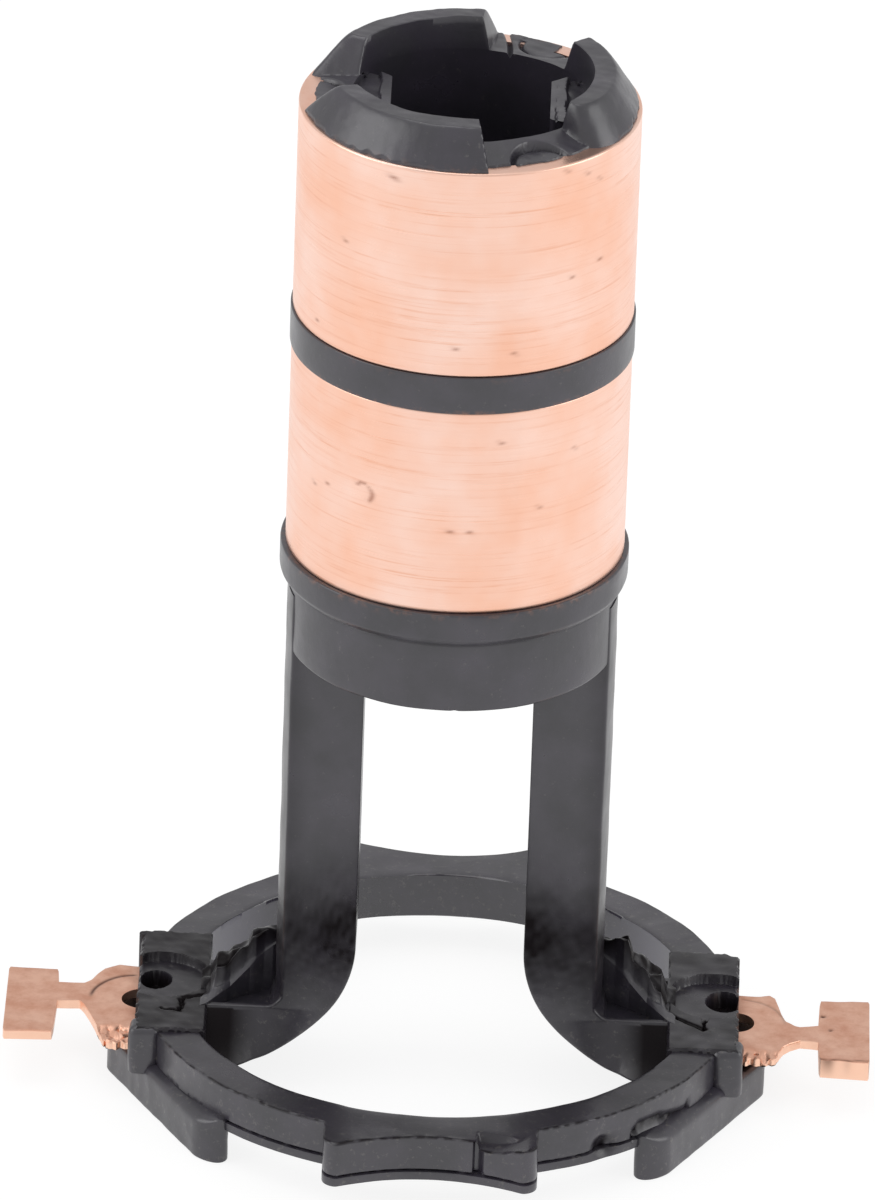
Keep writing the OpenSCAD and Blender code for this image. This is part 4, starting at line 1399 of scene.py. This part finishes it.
def terminal(side, y_high, y_low, seed):
    """The marked top, the bottom under it and the walls; points at one place become one."""
    x, in_hole = terminal_columns(y_high[0][0])
    bands = terminal_bands(side, x, y_high, y_low)
    rows, cols = bands[0].shape[:2]
    top = np.concatenate([band.reshape(-1, 3) for band in bands])
    stain_and_shadow = mark_terminal(top, side, seed)
    bottom = top.copy()
    # The right tab's front edge is folded under
    hem = 0.5 * step_up(-top[:, 1], 2.45, 2.6) * (top[:, 0] > TAB_FOLD_X)
    bottom[:, 2] = STRIP_LOW - hem
    everything = np.vstack([top, bottom]).round(5)
    kept, first_seen, same = np.unique(everything, axis=0, return_index=True, return_inverse=True)
    faces = same.reshape(-1)[terminal_faces(rows, cols, in_hole)]
    full = np.array([len(set(f)) == 4 for f in faces.tolist()])
    return (kept, faces[full]), np.concatenate([stain_and_shadow, 0 * stain_and_shadow])[first_seen]


small = terminal_faces(3, 4, slice(1, 2))
print("two bands of 3 by 4 points make", len(small), "faces")

# %% [markdown]
# ### The two stampings
# The edges are read off the photograph: distance from the axis, then the edge's y there. The pad
# comes first, the narrow neck lies near 16.8 mm, and the tab begins at 17.7 mm.

# %% Terminal pieces
right_high = (
    [10.9, 14.95, 15.41, 15.65, 15.79, 15.94, 16.17, 16.59, 16.82, 17.52, 17.7, 17.74, 20.0, 20.06],
    [3.04, 3.04, 3.18, 2.91, 2.22, 1.45, 0.68, 0.22, 0.14, 0.30, 0.34, 2.8, 2.95, 2.7])
right_low = (
    [10.9, 15.45, 15.72, 16.04, 16.37, 16.83, 17.38, 17.70, 17.74, 20.0, 20.06],
    [-3.05, -3.01, -2.80, -1.89, -1.47, -1.14, -1.19, -1.25, -2.95, -3.1, -2.9])
left_high = (
    [10.9, 13.9, 14.92, 15.28, 15.6, 15.9, 16.15, 16.47, 17.16, 17.70, 17.74, 20.0, 20.06],
    [3.5, 3.56, 3.67, 3.44, 3.22, 2.69, 2.08, 1.75, 1.69, 1.7, 3.0, 3.05, 2.8])
left_low = (
    [10.9, 15.24, 15.49, 15.66, 15.82, 16.09, 16.41, 16.62, 17.1, 17.70, 17.74, 20.0, 20.06],
    [-3.9, -3.86, -3.29, -2.72, -2.14, -1.28, -0.42, -0.04, -0.08, -0.1, -3.2, -3.3, -3.0])
terminals = (("terminal_right", 1, right_high, right_low, 81, "outer_ring_lead"),
             ("terminal_left", -1, left_high, left_low, 83, "inner_ring_lead"))
for name, side, y_high, y_low, seed, node_name in terminals:
    strip, stain_and_shadow = terminal(side, y_high, y_low, seed)
    piece(name, [strip], stamped_copper, node_name, marks_and_painted_light=stain_and_shadow)

# %% [markdown]
# ## Floor, world and lamps
# The object stands on a plain white sweep. Upright faces are lighter than level ones in the
# photograph, because they face the white sweep and low lamps at the front, and little comes from
# above. So the world is a plain grey, two soft lamps stand low on the left and the right, and a
# third hangs above. Camera and mirror rays see the floor mostly as plain white and partly as lit,
# which keeps the shadow and the white ground. A shadow catcher would leave the ground see-through.

# %% Floor
PLAIN_SHARE = 0.78
bpy.ops.mesh.primitive_plane_add(size=4)
floor = bpy.context.object
floor.name = "floor"
# A fiftieth of a millimetre lower than the feet, so that the two don't flicker
floor.location.z = -0.02 * MM
paper, tree, surface, where = finish_of("paper_white")
feed(tree, surface, {"Base Color": srgb("#f4f4f4"), "Roughness": 0.9, "Specular IOR Level": 0.0})
path = node(tree, "LightPath")
seen = node(tree, "Math", {
    0: path.outputs["Is Camera Ray"], 1: path.outputs["Is Glossy Ray"]}, operation="MAXIMUM")
seen = node(tree, "Math", {0: seen, 1: path.outputs["Is Transmission Ray"]}, operation="MAXIMUM")
part = node(tree, "Math", {0: seen, 1: PLAIN_SHARE}, operation="MULTIPLY")
white = node(tree, "Emission", {"Color": srgb("#ffffff"), "Strength": 1.08})
both = node(tree, "MixShader", {0: part, 1: surface, 2: white})
feed(tree, tree.nodes["Material Output"], {"Surface": both})
floor.data.materials.append(paper)
print("the floor is", floor.dimensions.x, "m wide")

# %% World and lamps
world = bpy.data.worlds.new("studio")
scene.world = world
world.use_nodes = True
sky = world.node_tree.nodes["Background"]
sky.inputs["Color"].default_value = (1.0, 1.0, 1.0, 1.0)
sky.inputs["Strength"].default_value = 0.7


def softbox(name, place, size, energy):
    """A square area lamp at place, in metres, that faces the middle of the object."""
    lamp = bpy.data.lights.new(name, "AREA")
    lamp.energy = energy
    lamp.size = size
    stand = bpy.data.objects.new(name, lamp)
    stand.location = place
    stand.rotation_mode = "QUATERNION"
    aim = Vector((0, 0, 0.02)) - stand.location
    stand.rotation_quaternion = aim.to_track_quat("-Z", "Y")
    scene.collection.objects.link(stand)


softbox("lamp_left", (-0.5, -0.12, 0.28), 0.4, 0.9)
softbox("lamp_right", (0.5, -0.08, 0.28), 0.4, 0.9)
softbox("lamp_above", (-0.1, 0.05, 0.55), 0.3, 0.4)
